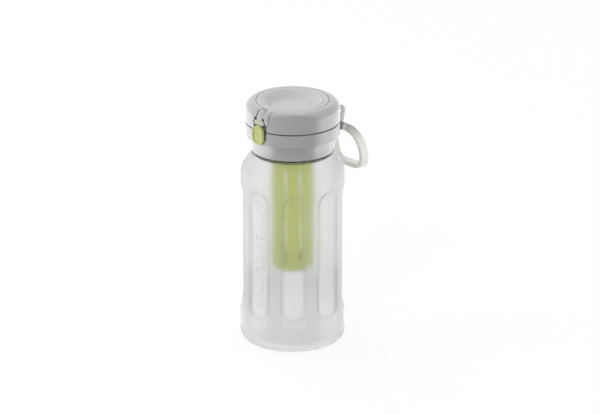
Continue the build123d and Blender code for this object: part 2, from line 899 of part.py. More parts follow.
def loop_band():
    """Side view of the loop: a bowed band that widens towards its cross bar, with a round eye."""
    radius = ((loop_chord / 2) ** 2 + loop_bow**2) / (2 * loop_bow)
    half_turn = math.asin(loop_chord / 2 / radius)
    start = loop_start_width / 2
    end = loop_end_width / 2
    middle = (start + end) / 2
    lean = Vector(math.sin(half_turn), math.cos(half_turn))
    near = Vector(-lean.X, lean.Y)
    far_point = Vector(loop_chord, 0)
    high_point = Vector(loop_chord / 2, loop_bow)
    up = Vector(0, middle)
    beyond = Vector(lean.Y, -lean.X) * loop_bar
    far_top = far_point + lean * end
    far_foot = far_point - lean * end
    upper = ThreePointArc(near * start, high_point + up, far_top)
    lower = ThreePointArc(far_foot, high_point - up, near * -start)
    tail = Polyline(far_top, far_top + beyond, far_foot + beyond, far_foot)
    closing = Line(near * -start, near * start)
    return make_face(upper + tail + lower + closing) + Circle(loop_eye_r), half_turn


def loop_window(width, reach, round_r, tilt):
    """Prism through the loop at its cross bar, square to the band there."""
    turn = math.radians(loop_chord_angle) + tilt
    chord_turn = math.radians(loop_chord_angle)
    bar = Vector(
        0,
        loop_axis_y + loop_chord * math.cos(chord_turn),
        loop_axis_height - loop_chord * math.sin(chord_turn),
    )
    plane = Plane(bar, x_dir=(1, 0, 0), z_dir=(0, math.sin(turn), math.cos(turn)))
    length = 2 * loop_chord
    outline = Pos(0, reach - length / 2) * RectangleRounded(width, length, round_r)
    return extrude(plane * outline, amount=loop_chord, both=True)


def make_carry_loop():
    band, tilt = loop_band()
    band = Pos(loop_axis_y, loop_axis_height) * Rot(0, 0, -loop_chord_angle) * band
    blank = side_prism(band, -loop_half_span, loop_half_span)
    blank = blank & loop_window(2 * loop_half_span, loop_bar / 2, loop_outer_round_r, tilt)
    inner_width = 2 * (loop_half_span - loop_strap)
    inner_round_r = loop_outer_round_r - loop_strap
    loop = blank - loop_window(inner_width, -loop_bar / 2, inner_round_r, tilt)
    hole_r = post_r + running_gap
    span = loop_half_span + overrun
    return loop - cross_rod(hole_r, loop_axis_y, loop_axis_height, -span, span)


def make_loop_posts():
    seat = ear_outer - post_seat_depth
    head_start = loop_half_span + sliding_gap
    shank = cross_rod(post_r, loop_axis_y, loop_axis_height, seat, head_start)
    head = cross_rod(
        post_head_r, loop_axis_y, loop_axis_height, head_start, head_start + post_head_thickness
    )
    rim = head.edges().group_by(Axis.X)[-1]
    post = shank + fillet(rim, post_head_thickness / 2)
    return Compound(mirrored_pair(post.solid()))


makers = {
    "bottle_shell": make_bottle_shell,
    "neck_gasket": make_neck_gasket,
    "cap_base": make_cap_base,
    "drink_spout": make_drink_spout,
    "infuser_seal": make_infuser_seal,
    "infuser_basket": make_infuser_basket,
    "infuser_end_cap": make_infuser_end_cap,
    "lid_shell": make_lid_shell,
    "lid_top_disc": make_lid_top_disc,
    "lid_liner": make_lid_liner,
    "lid_seal": make_lid_seal,
    "hinge_pin": make_hinge_pin,
    "hinge_spring": make_hinge_spring,
    "release_button": make_release_button,
    "button_pin": make_button_pin,
    "button_spring": make_button_spring,
    "lock_clasp": make_lock_clasp,
    "clasp_pin": make_clasp_pin,
    "carry_loop": make_carry_loop,
    "loop_posts": make_loop_posts,
}

os.makedirs("parts", exist_ok=True)
for name, make in makers.items():
    export_step(make(), f"parts/{name}.step")
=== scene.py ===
import math

import bmesh
import bpy
from mathutils import Matrix, Vector


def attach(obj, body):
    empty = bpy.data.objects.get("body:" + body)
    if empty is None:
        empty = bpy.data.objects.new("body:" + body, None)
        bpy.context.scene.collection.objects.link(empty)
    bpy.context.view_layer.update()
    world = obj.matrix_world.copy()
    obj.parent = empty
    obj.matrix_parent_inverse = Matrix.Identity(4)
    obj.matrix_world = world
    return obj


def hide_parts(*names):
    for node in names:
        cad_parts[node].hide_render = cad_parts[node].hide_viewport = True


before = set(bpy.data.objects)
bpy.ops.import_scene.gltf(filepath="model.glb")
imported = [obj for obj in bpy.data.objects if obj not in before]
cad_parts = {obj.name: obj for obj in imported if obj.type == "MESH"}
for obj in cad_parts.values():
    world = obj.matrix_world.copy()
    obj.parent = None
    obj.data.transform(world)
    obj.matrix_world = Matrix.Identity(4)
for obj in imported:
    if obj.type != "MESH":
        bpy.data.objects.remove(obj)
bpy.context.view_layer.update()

bl_info = {
    "name": "Infuser bottle",
    "version": (1, 0, 0),
    "blender": (4, 5, 0),
    "location": "3D View > Sidebar > Bottle",
    "description": "Finished shells, fittings and materials for an infuser bottle",
    "category": "Object",
}

# Meshes are modelled in millimetres and brought to metres when a piece is finished.
MILLIMETRE = 0.001
PANEL_COUNT = 8
SPIN_COLUMNS = 17
SPIN_STEPS = SPIN_COLUMNS * PANEL_COUNT
CORNER_STEP = math.radians(9)
SHARP_ANGLE = math.radians(32)
MERGE_DISTANCE = 0.0005

# Heights and radii shared by several pieces
NECK_R = 30.6
NECK_TOP = 184.0
COLLAR_BORE_R = 32.1
FLANGE_R = 39.15
DECK_BOTTOM = 186.0
DECK_TOP = 188.2
LID_BOTTOM = 191.2
LID_CEILING = 204.95
LID_TOP = 208.5
LID_ROUND_R = 6.5
DISC_SEAT = 206.75
DISC_SEAT_R = 30.4

# Axes across the bottle, as (Y, Z), and what turns on them
HINGE_AXIS = (42.9, 191.3)
HINGE_PIN_R = 1.5
KNUCKLE_R = 4.95
KNUCKLE_SPAN = (4.6, 9.2)
EAR_SPAN = (9.5, 14.4)
TURN_ROOM = 0.4
LOOP_AXIS = (41.4, 179.2)
POST_R = 1.6
CLASP_AXIS = (-33.6, 206.9)
CLASP_PIN_R = 0.75
BUTTON_AXIS = (-37.1, 187.2)
BUTTON_PIN_R = 0.8
BUTTON_PIN_REACH = 8.4
RUNNING_GAP = 0.05


# Outlines

def rounded(rows):
    """Closed outline from rows of (across, up, rounding radius)."""
    points = [Vector(row[:2]) for row in rows]
    outline = []
    for i, (corner, row) in enumerate(zip(points, rows)):
        radius = row[2]
        if not radius:
            outline.append(corner)
            continue
        back = (points[i - 1] - corner).normalized()
        ahead = (points[(i + 1) % len(points)] - corner).normalized()
        opening = back.angle(ahead)
        turn = math.pi - opening
        middle = corner + (back + ahead).normalized() * (radius / math.sin(opening / 2))
        first = corner + back * (radius / math.tan(opening / 2)) - middle
        last = corner + ahead * (radius / math.tan(opening / 2)) - middle
        parts = max(2, math.ceil(turn / CORNER_STEP))
        for k in range(parts + 1):
            from_first = math.sin((1 - k / parts) * turn) / math.sin(turn)
            from_last = math.sin(k / parts * turn) / math.sin(turn)
            outline.append(middle + first * from_first + last * from_last)
    return outline


def arc(centre, radius, first, last):
    """Points of an arc, from one angle to another in degrees."""
    parts = max(2, math.ceil(abs(math.radians(last - first)) / CORNER_STEP))
    angles = [math.radians(first + (last - first) * k / parts) for k in range(parts + 1)]
    middle = Vector(centre)
    return [middle + radius * Vector((math.cos(a), math.sin(a))) for a in angles]


def hole(centre, radius):
    """Outline of a round hole."""
    return arc(centre, radius, 0, 351)


def rectangle(x_low, x_high, y_low, y_high, radius=0.0):
    """Rectangle with round corners."""
    corners = ((x_low, y_low), (x_high, y_low), (x_high, y_high), (x_low, y_high))
    return rounded([(*corner, radius) for corner in corners])


def radius_at(outline, height):
    """Radius of an open outline of (radius, height) at a height."""
    for low, high in zip(outline, outline[1:]):
        if low.y <= height <= high.y and high.y > low.y:
            return low.x + (high.x - low.x) * (height - low.y) / (high.y - low.y)
    raise ValueError(f"no radius at height {height}")


# Shapes

def cleaned(shape):
    """Merges doubles and points the faces outwards."""
    bmesh.ops.remove_doubles(shape, verts=shape.verts, dist=MERGE_DISTANCE)
    bmesh.ops.dissolve_degenerate(shape, edges=shape.edges, dist=MERGE_DISTANCE)
    bmesh.ops.recalc_face_normals(shape, faces=shape.faces)
    return shape


def turn_about_z(shape, angle):
    """Turns a shape about the upright axis."""
    bmesh.ops.rotate(
        shape, verts=shape.verts, cent=(0, 0, 0), matrix=Matrix.Rotation(angle, 3, "Z")
    )


def spun(outline, steps=SPIN_STEPS, closed=True, start=0.0, sweep=math.tau):
    """Shape turned about the upright axis from an outline of (radius, height)."""
    shape = bmesh.new()
    verts = [shape.verts.new((point.x, 0, point.y)) for point in outline]
    pairs = list(zip(verts, verts[1:] + verts[:1]))
    if not closed:
        pairs.pop()
    # An edge on the axis would spin into nothing.
    edges = [shape.edges.new(pair) for pair in pairs if max(v.co.x for v in pair) > 0]
    turn_about_z(shape, start)
    bmesh.ops.spin(
        shape, geom=verts + edges, cent=(0, 0, 0), axis=(0, 0, 1), dvec=(0, 0, 0),
        angle=sweep, steps=steps, use_merge=sweep == math.tau,
    )
    return cleaned(shape)


def turned(rows):
    """Closed turned solid from rows of (radius, height, rounding radius)."""
    return spun(rounded(rows))


def prism(axis, outline, low, high, bevel=0.0):
    """Solid with a flat outline, between two places on the named axis."""
    order = {"X": (2, 0, 1), "Y": (0, 2, 1), "Z": (0, 1, 2)}[axis]
    shape = bmesh.new()
    verts = []
    for point in outline:
        spread = (point[0], point[1], low)
        verts.append(shape.verts.new([spread[k] for k in order]))
    face = shape.faces.new(verts)
    made = bmesh.ops.extrude_face_region(shape, geom=[face])["geom"]
    moved = [item for item in made if isinstance(item, bmesh.types.BMVert)]
    shift = [0, 0, 0]
    shift["XYZ".index(axis)] = high - low
    bmesh.ops.translate(shape, verts=moved, vec=shift)
    cleaned(shape)
    if bevel:
        softened(shape, bevel)
    return shape


def softened(shape, width):
    """Rounds the sharp edges of a shape."""
    sharp = [e for e in shape.edges if e.is_manifold and e.calc_face_angle() > SHARP_ANGLE]
    bmesh.ops.bevel(
        shape, geom=sharp, offset=width, offset_type="OFFSET", segments=3, profile=0.5,
        affect="EDGES", clamp_overlap=True, material=-1,
    )
    return shape


def rod(radius, centre, low, high, bevel=0.0, sides=40):
    """Round rod along X through a point given in Y and Z."""
    turns = [math.tau * k / sides for k in range(sides)]
    circle = [Vector(centre) + radius * Vector((math.cos(t), math.sin(t))) for t in turns]
    return prism("X", circle, low, high, bevel)


def both_rods(radius, centre, middle, half_length, bevel=0.0):
    """The same short rod along X at the left and at the right."""
    return [
        rod(radius, centre, side * middle - half_length, side * middle + half_length, bevel)
        for side in (-1, 1)
    ]


def slot_tool(width, bottom, top, low, high):
    """Upright slot with round ends, along Y."""
    half = width / 2
    outline = arc((0, top - half), half, 0, 180) + arc((0, bottom + half), half, 180, 360)
    return prism("Y", outline, low, high)


def gathered(*shapes):
    """One shape that holds several."""
    total = bmesh.new()
    for shape in shapes:
        mesh = bpy.data.meshes.new("part")
        shape.to_mesh(mesh)
        shape.free()
        total.from_mesh(mesh)
        bpy.data.meshes.remove(mesh)
    return total


def flipped(shape):
    """A copy of a shape mirrored to the other side."""
    other = shape.copy()
    bmesh.ops.scale(other, vec=(-1, 1, 1), verts=other.verts)
    bmesh.ops.reverse_faces(other, faces=other.faces)
    return other


def hulled(*shapes):
    """Convex hull of shapes."""
    total = gathered(*shapes)
    made = bmesh.ops.convex_hull(total, input=total.verts)
    spare = set(made["geom_interior"]) | set(made["geom_unused"])
    kept = {item for item in made["geom"] if isinstance(item, bmesh.types.BMFace)}
    faces = [face for face in total.faces if face not in kept]
    bmesh.ops.delete(total, geom=faces, context="FACES_ONLY")
    loose = [v for v in total.verts if not v.link_faces or v in spare]
    bmesh.ops.delete(total, geom=loose, context="VERTS")
    return cleaned(total)


def in_metres(shape):
    """Brings a shape from millimetres to metres."""
    bmesh.ops.scale(shape, vec=(MILLIMETRE,) * 3, verts=shape.verts)
    return shape


def as_object(shape, name):
    """Object that holds a shape."""
    mesh = bpy.data.meshes.new(name)
    shape.to_mesh(mesh)
    shape.free()
    made = bpy.data.objects.new(name, mesh)
    bpy.context.scene.collection.objects.link(made)
    return made


def from_object(holder):
    """Shape of an object with its modifiers applied; the object is removed."""
    shape = bmesh.new()
    shape.from_object(holder, bpy.context.evaluated_depsgraph_get())
    mesh = holder.data
    bpy.data.objects.remove(holder)
    bpy.data.meshes.remove(mesh)
    return shape


def combined(operation, base, *tools):
    """Union, difference or intersection of a shape with each tool in turn."""
    for tool in tools:
        blank = as_object(base, "blank")
        cutter = as_object(tool, "cutter")
        modifier = blank.modifiers.new("combine", "BOOLEAN")
        modifier.operation = operation
        modifier.solver = "EXACT"
        modifier.object = cutter
        base = from_object(blank)
        mesh = cutter.data
        bpy.data.objects.remove(cutter)
        bpy.data.meshes.remove(mesh)
    return cleaned(base)


def thickened(shape, wall, seam):
    """Closed shell from a skin whose strips join at seams, with its wall grown inwards."""
    bmesh.ops.remove_doubles(shape, verts=shape.verts, dist=seam)
    bmesh.ops.recalc_face_normals(shape, faces=shape.faces)
    skin = as_object(shape, "skin")
    modifier = skin.modifiers.new("wall", "SOLIDIFY")
    modifier.thickness = wall
    modifier.offset = -1
    modifier.use_even_offset = True
    modifier.use_rim = True
    return from_object(skin)


def next_loop(shape, loop, place):
    """Extrudes a loop and moves each new point to where place says."""
    made = bmesh.ops.extrude_edge_only(shape, edges=loop)["geom"]
    new = {item for item in made if isinstance(item, bmesh.types.BMVert)}
    for vert in new:
        vert.co = place(vert)
    return [
        item for item in made
        if isinstance(item, bmesh.types.BMEdge) and all(v in new for v in item.verts)
    ]


def swept(rings):
    """Solid whose cross sections are rings of points, one after another."""
    shape = bmesh.new()
    order = shape.verts.layers.int.new("order")
    verts = [shape.verts.new(point) for point in rings[0]]
    for i, vert in enumerate(verts):
        vert[order] = i
    loop = [shape.edges.new(pair) for pair in zip(verts, verts[1:] + verts[:1])]
    shape.faces.new(verts)
    for ring in rings[1:]:
        loop = next_loop(shape, loop, lambda vert: ring[vert[order]])
    bmesh.ops.contextual_create(shape, geom=loop)
    return cleaned(shape)


def wire(path, radius, sides=12):
    """Round wire along a path, closed at its ends."""
    rings = []
    side = None
    for i, point in enumerate(path):
        ahead = (path[min(i + 1, len(path) - 1)] - path[max(i - 1, 0)]).normalized()
        side = side or ahead.orthogonal()
        side = (side - ahead * side.dot(ahead)).normalized()
        up = ahead.cross(side)
        turns = [math.tau * k / sides for k in range(sides)]
        rings.append([point + radius * (math.cos(t) * side + math.sin(t) * up) for t in turns])
    return swept(rings)


class Slot:
    """Upright slot drawn in X and Y, from whose outline rings grow outwards or inwards."""

    END_POINTS = SPIN_COLUMNS + 1
    SIDE_CUTS = 30

    def __init__(self, width, length):
        self.shape = bmesh.new()
        self.home = self.shape.verts.layers.float_vector.new("home")
        self.half = width / 2
        self.spine = length / 2 - self.half
        step = math.pi / self.END_POINTS
        bmesh.ops.create_circle(
            self.shape, segments=2 * self.END_POINTS, radius=self.half, cap_ends=False
        )
        turn_about_z(self.shape, step / 2)
        for vert in self.shape.verts:
            side = math.copysign(1, vert.co.y)
            angle = math.atan2(abs(vert.co.y), vert.co.x)
            angle = (angle - step / 2) * math.pi / (math.pi - step)
            up = side * (self.half * math.sin(angle) + self.spine)
            vert.co = (self.half * math.cos(angle), up, 0)
        straight = [e for e in self.shape.edges if e.verts[0].co.y * e.verts[1].co.y < 0]
        bmesh.ops.subdivide_edges(self.shape, edges=straight, cuts=self.SIDE_CUTS)
        for vert in self.shape.verts:
            vert[self.home] = vert.co
        self.outline = list(self.shape.edges)

    def rings(self, rows):
        """Rings that are each grown by a distance and set to a depth."""
        def place(vert):
            home = vert[self.home]
            foot = Vector((0, max(-self.spine, min(self.spine, home.y)), 0))
            out = (home - foot).normalized() * (self.half + grow)
            return foot + out + Vector((0, 0, depth))

        loop = self.outline
        for grow, depth in rows:
            loop = next_loop(self.shape, loop, place)

    def land(self, cell, middle, count):
        """Flat rings that open out to a cell of (half width, bottom, top) round the slot."""
        half_width, bottom, top = cell

        def place(vert):
            home = vert[self.home]
            if abs(home.y) <= self.spine + MERGE_DISTANCE:
                rise = (home.y + self.spine) / (2 * self.spine)
                across = math.copysign(half_width, home.x)
                goal = Vector((across, bottom + (top - bottom) * rise, 0))
            else:
                angle = math.atan2(abs(home.y) - self.spine, home.x)
                end = top if home.y > 0 else bottom
                goal = Vector((half_width * (1 - 2 * angle / math.pi), end, 0))
            goal.y -= middle
            return home.lerp(goal, share)

        loop = self.outline
        for k in range(count):
            share = (k + 1) / count
            loop = next_loop(self.shape, loop, place)


def slot_sheet(width, bottom, top, cell, land_rings, rings=()):
    """Flat sheet round a slot, out to a cell of (half width, bottom, top)."""
    middle = (top + bottom) / 2
    slot = Slot(width, top - bottom)
    slot.land(cell, middle, land_rings)
    if rings:
        slot.rings(rings)
    bmesh.ops.translate(slot.shape, verts=slot.shape.verts, vec=(0, middle, 0))
    return slot.shape


def wrapped(sheet, count, reference_r, radius_of, first=0.0):
    """Copies of a flat sheet round the axis: X becomes the angle from the front, Y the height."""
    mesh = bpy.data.meshes.new("sheet")
    sheet.to_mesh(mesh)
    sheet.free()
    total = bmesh.new()
    for i in range(count):
        start = len(total.verts)
        total.from_mesh(mesh)
        total.verts.ensure_lookup_table()
        for vert in total.verts[start:]:
            angle = vert.co.x / reference_r + math.tau * i / count + first
            radius = radius_of(vert.co.y) + vert.co.z
            vert.co = (radius * math.sin(angle), -radius * math.cos(angle), vert.co.y)
    bpy.data.meshes.remove(mesh)
    return total


# Materials

class Value:
    """Output of a node that takes part in sums; each sum adds a Math node."""

    def __init__(self, tree, socket):
        self.tree = tree
        self.socket = socket

    def __add__(self, other):
        return self.tree.math("ADD", self, other)

    def __radd__(self, other):
        return self.tree.math("ADD", other, self)

    def __sub__(self, other):
        return self.tree.math("SUBTRACT", self, other)

    def __rsub__(self, other):
        return self.tree.math("SUBTRACT", other, self)

    def __mul__(self, other):
        return self.tree.math("MULTIPLY", self, other)

    def __rmul__(self, other):
        return self.tree.math("MULTIPLY", other, self)


class Tree:
    """Nodes of one material or world."""

    def __init__(self, owner):
        owner.use_nodes = True
        self.owner = owner
        self.nodes = owner.node_tree.nodes
        self.links = owner.node_tree.links
        self.nodes.clear()

    def node(self, kind, settings=None, sockets=None, output=0):
        """Adds a node, sets it up and fills its inputs.

        Returns one output, or for None all of them by name.
        """
        node = self.nodes.new("ShaderNode" + kind)
        for name, setting in (settings or {}).items():
            setattr(node, name, setting)
        for name, item in (sockets or {}).items():
            if isinstance(item, Value):
                self.links.new(item.socket, node.inputs[name])
            else:
                node.inputs[name].default_value = item
        if output is None:
            return {socket.name: Value(self, socket) for socket in node.outputs}
        return Value(self, node.outputs[output])

    def math(self, operation, *items):
        """Math node on numbers."""
        return self.node("Math", {"operation": operation}, dict(enumerate(items)))

    def mix(self, share, first, second):
        """Mix of two colours."""
        colours = {"Factor": share, 6: first, 7: second}
        return self.node("Mix", {"data_type": "RGBA"}, colours, 2)

    def place(self):
        """Place on the piece, in metres."""
        return self.node("TexCoord", output="Object")

    def coordinates(self):
        """The three coordinates of the place on the piece."""
        return list(self.node("SeparateXYZ", sockets={0: self.place()}, output=None).values())

    def along(self, where, way):
        """How far a place lies along a direction."""
        settings = {"operation": "DOT_PRODUCT"}
        return self.node("VectorMath", settings, {0: where, 1: tuple(way)}, "Value")

    def noise(self, scale, detail=3.0, stretch=(1, 1, 1)):
        """Noise on the piece's own coordinates, from 0 to 1."""
        where = self.node("Mapping", sockets={"Vector": self.place(), "Scale": stretch})
        return self.node("TexNoise", sockets={"Vector": where, "Scale": scale, "Detail": detail})

    def ramp(self, value, low, high):
        """Value brought to 0 to 1 between two limits, with soft ends."""
        return self.node(
            "MapRange", {"interpolation_type": "SMOOTHSTEP"},
            {"Value": value, "From Min": low, "From Max": high},
        )

    def bump(self, strength, distance, height):
        """Normal that follows a height."""
        sockets = {"Strength": strength, "Distance": distance, "Height": height}
        return self.node("Bump", sockets=sockets)

    def seen(self):
        """1 for what the camera sees straight, by reflection or through the bottle."""
        rays = self.node("LightPath", output=None)
        direct = self.math("MAXIMUM", rays["Is Camera Ray"], rays["Is Glossy Ray"])
        return self.math("MAXIMUM", direct, rays["Is Transmission Ray"])

    def finish(self, shader, kind="Material"):
        """The owner, with the shader as its surface."""
        self.node("Output" + kind, sockets={"Surface": shader}, output=None)
        return self.owner


def shaded(colour, share=1.0):
    """Colour times a share, as the four numbers that a socket takes."""
    return [min(1, channel * share) for channel in colour] + [1]


def grey(level):
    """Grey of a level, as the four numbers that a socket takes."""
    return (level, level, level, 1)


CLOUD_SPREAD = 0.04
PAINTED_SHADE_SHARE = 0.42
GRAIN_DISTANCE = 0.0002


def moulded(
    name, colour, roughness, grain,
    clear=0.0, ior=1.47, coat=0.0, texture=0.05, painted_shade_over=None,
):
    """Moulded plastic: slight clouds of colour, a fine grain and hairline scratches.

    Where a range of heights is given, painted shade darkens its colour over that range.
    """
    tree = Tree(bpy.data.materials.new(name))
    cloud = tree.noise(45.0, 4.0)
    streak = tree.noise(240.0, 2.0, (1, 1, 0.12))
    fine = tree.noise(2600.0, 2.0)
    scratch = tree.ramp(tree.noise(900.0, 1.0, (1, 0.06, 0.4)), 0.66, 0.74)
    shade = cloud * 0.6 + streak * 0.4
    base = tree.mix(shade, shaded(colour, 1 - CLOUD_SPREAD), shaded(colour, 1 + CLOUD_SPREAD))
    # Painted shade: the colour darkens over the given heights
    if painted_shade_over:
        height = tree.coordinates()[2]
        base = tree.mix(tree.ramp(height, *painted_shade_over), base, shaded(colour, PAINTED_SHADE_SHARE))
    rough = roughness + grain * (fine - 0.5) + grain * (cloud - 0.5) + scratch * (grain * 0.8)
    sockets = {
        "Base Color": base,
        "Roughness": rough,
        "Transmission Weight": clear,
        "IOR": ior,
        "Coat Weight": coat,
        "Coat Roughness": 0.06,
        "Normal": tree.bump(texture, GRAIN_DISTANCE, fine * 0.5 + scratch * 0.5),
    }
    return tree.finish(tree.node("BsdfPrincipled", sockets=sockets))


# Heights over which painted shade darkens the ribs between the panels
RIB_SHADE_FOOT = (0.014, 0.036)
RIB_SHADE_HEAD = (0.080, 0.062)


def frosted(name, colour):
    """Frosted clear plastic: fine grain, faint clouds and a rub where hands hold it.

    Low down, painted shade darkens the thick ribs between the panels.
    """
    tree = Tree(bpy.data.materials.new(name))
    east, north, height = tree.coordinates()
    wave = tree.math("COSINE", tree.math("ARCTAN2", north, east) * PANEL_COUNT)
    # Painted shade: a darker colour on the ribs between the panels, low down
    rib_shade = 0.34 + 0.66 * tree.ramp(wave, 0.25, -0.75)
    rib_shade = rib_shade * tree.ramp(height, *RIB_SHADE_FOOT) * tree.ramp(height, *RIB_SHADE_HEAD)
    cloud = tree.noise(22.0, 4.0)
    fine = tree.noise(3200.0, 2.0)
    rub = tree.ramp(tree.noise(120.0, 5.0, (1, 1, 0.3)), 0.58, 0.8)
    clouded = tree.mix(cloud, shaded(colour, 0.97), shaded(colour))
    sockets = {
        "Base Color": tree.mix(rib_shade, clouded, shaded(colour, 0.83)),
        "Roughness": 0.36 + 0.08 * (cloud - 0.5) + 0.06 * (fine - 0.5) - 0.05 * rub,
        "Transmission Weight": 0.92,
        "IOR": 1.33,
        "Coat Weight": 0.35,
        "Coat Roughness": 0.22,
        "Normal": tree.bump(0.10, GRAIN_DISTANCE, fine),
    }
    return tree.finish(tree.node("BsdfPrincipled", sockets=sockets))


def drawn_metal(name, colour, roughness, stretch):
    """Drawn or turned steel: fine lines along the stretch, slight stains."""
    tree = Tree(bpy.data.materials.new(name))
    lines = tree.noise(1800.0, 3.0, stretch)
    stain = tree.noise(160.0, 3.0)
    shade = lines * 0.5 + stain * 0.5
    sockets = {
        "Base Color": tree.mix(shade, shaded(colour, 0.82), shaded(colour)),
        "Roughness": roughness + 0.16 * (lines - 0.5) + 0.1 * (stain - 0.5),
        "Metallic": 1.0,
        "Normal": tree.bump(0.12, 0.0001, lines),
    }
    return tree.finish(tree.node("BsdfPrincipled", sockets=sockets))


# What a user would change

def swatch(label, about, colour):
    """Colour property."""
    return bpy.props.FloatVectorProperty(
        name=label, description=about, default=colour, size=3, min=0, max=1, subtype="COLOR"
    )


def length(label, about, size):
    """Length property, in metres, from a size in millimetres."""
    return bpy.props.FloatProperty(
        name=label, description=about, default=size * MILLIMETRE,
        min=0, unit="LENGTH", precision=5,
    )


class BOTTLE_PG_sizes(bpy.types.PropertyGroup):
    """Sizes of the finished pieces."""

    panel_depth: length("Panel depth", "How deep the finger panels lie", 1.2)
    panel_border: length("Panel border", "Width of the stepped border round a panel", 2.9)
    figure_height: length("Figure height", "Height of the figures on the scale", 5.4)
    figure_rise: length("Figure rise", "How far the scale stands out of its panel", 0.6)
    thread_pitch: length("Thread pitch", "Rise of the neck thread in one turn", 4.0)


class BOTTLE_PG_colours(bpy.types.PropertyGroup):
    """Colours of the finishes."""

    body: swatch("Body", "Frosted body", (0.97, 0.975, 0.98))
    cap: swatch("Cap", "Cap and lid", (0.34, 0.34, 0.345))
    disc: swatch("Disc", "Dish-shaped disc in the lid's top", (0.46, 0.46, 0.46))
    infuser: swatch("Infuser", "Infuser and its end cap", (0.88, 0.95, 0.10))
    button: swatch("Button", "Release button", (0.35, 0.38, 0.12))
    hood: swatch("Hood", "Hood of the lock clasp", (0.40, 0.41, 0.33))
    loop: swatch("Loop", "Carry loop", (0.74, 0.74, 0.71))
    silicone: swatch("Silicone", "Seals", (0.80, 0.80, 0.79))
    steel: swatch("Steel", "Pins and springs", (0.62, 0.62, 0.63))


def millimetres(value):
    """Length property in millimetres."""
    return value / MILLIMETRE


# Heights over which painted shade darkens the carry loop's colour, darker higher up
LOOP_SHADE = (0.158, 0.180)


def finishes(context):
    """The materials by name, made on first use."""
    colours = context.scene.bottle_colours
    recipes = {
        "frosted": (frosted, colours.body),
        "scale": (moulded, (0.94,) * 3, 0.40, 0.10, {"clear": 0.35, "coat": 0.2}),
        "smoke": (moulded, colours.cap, 0.08, 0.05, {"clear": 0.06, "ior": 1.8, "coat": 1.0}),
        "smoke_disc": (moulded, colours.disc, 0.14, 0.06, {"ior": 1.42}),
        "inner": (moulded, (0.62,) * 3, 0.35, 0.10),
        "spout": (moulded, (0.70, 0.70, 0.68), 0.30, 0.10, {"clear": 0.2}),
        "infuser": (moulded, colours.infuser, 0.40, 0.08, {"clear": 0.42, "ior": 1.30}),
        "button": (moulded, colours.button, 0.24, 0.08, {"coat": 0.3}),
        "hood": (moulded, colours.hood, 0.24, 0.08, {"clear": 0.1, "coat": 0.3}),
        # The carry loop gets painted shade over the heights in LOOP_SHADE
        "loop": (moulded, colours.loop, 0.46, 0.12, {"texture": 0.2, "painted_shade_over": LOOP_SHADE}),
        "post": (moulded, (0.42,) * 3, 0.20, 0.06, {"coat": 0.5}),
        # Near-black finish that paints the shadow in the gap under the collar
        "dark_lip": (moulded, (0.03,) * 3, 0.5, 0.10),
        "silicone": (moulded, colours.silicone, 0.50, 0.12, {"clear": 0.15, "texture": 0.15}),
        "pin": (drawn_metal, colours.steel, 0.24, (0.1, 1, 1)),
        "wire": (drawn_metal, colours.steel, 0.32, (0.6, 0.6, 0.6)),
    }
    made = {}
    for name, (make, *values) in recipes.items():
        options = values.pop() if isinstance(values[-1], dict) else {}
        made[name] = bpy.data.materials.get(name) or make(name, *values, **options)
    return made


# Operators, one for each piece or like group

class BottleOperator(bpy.types.Operator):
    """Shared set-up of the operators."""

    bl_options = {"REGISTER", "UNDO"}

    def execute(self, context):
        self.sizes = context.scene.bottle_sizes
        self.finishes = finishes(context)
        self.build()
        return {"FINISHED"}

    def piece(self, shape, name, body, slot, finish, *stands_for):
        """Makes an object in metres with its sharp edges marked, on its body."""
        in_metres(shape)
        for face in shape.faces:
            face.smooth = True
        for edge in shape.edges:
            if edge.is_manifold:
                edge.smooth = edge.calc_face_angle() < SHARP_ANGLE
        made = as_object(shape, name)
        made.data.materials.append(self.finishes[finish])
        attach(made, body)
        if stands_for:
            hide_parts(*stands_for)


# Side view of the body as (radius, height, rounding), and the band that holds its panels
BODY_PROFILE = [
    (0, 1.8, 0), (24.0, 1.8, 2.0), (27.0, 0, 1.2), (43.0, 0, 10.0),
    (43.0, 24.0, 60.0), (41.9, 36.0, 60.0), (41.9, 128.5, 60.0), (43.0, 138.0, 60.0),
    (43.0, 150.1, 15.5), (33.3, 165.0, 2.5), (NECK_R, 165.0, 0.8), (NECK_R, NECK_TOP, 0),
]
BODY_WALL = 2.2
BODY_SEAM = 0.02
GRIP_R = 41.9
PANEL_WIDTH = 20.9
PANEL_BOTTOM, PANEL_TOP = 27.4, 138.0
BAND_BOTTOM, BAND_TOP = 23.0, 142.4

# Across a panel's border, as shares of its width and depth: a small step, a shelf, a second step
BORDER_STEPS = (
    (0.04, 0.03), (0.10, 0.10), (0.17, 0.22), (0.24, 0.34), (0.30, 0.41), (0.38, 0.45),
    (0.64, 0.54), (0.71, 0.57), (0.78, 0.63), (0.85, 0.75), (0.92, 0.89), (0.96, 0.97), (1.0, 1.0),
)


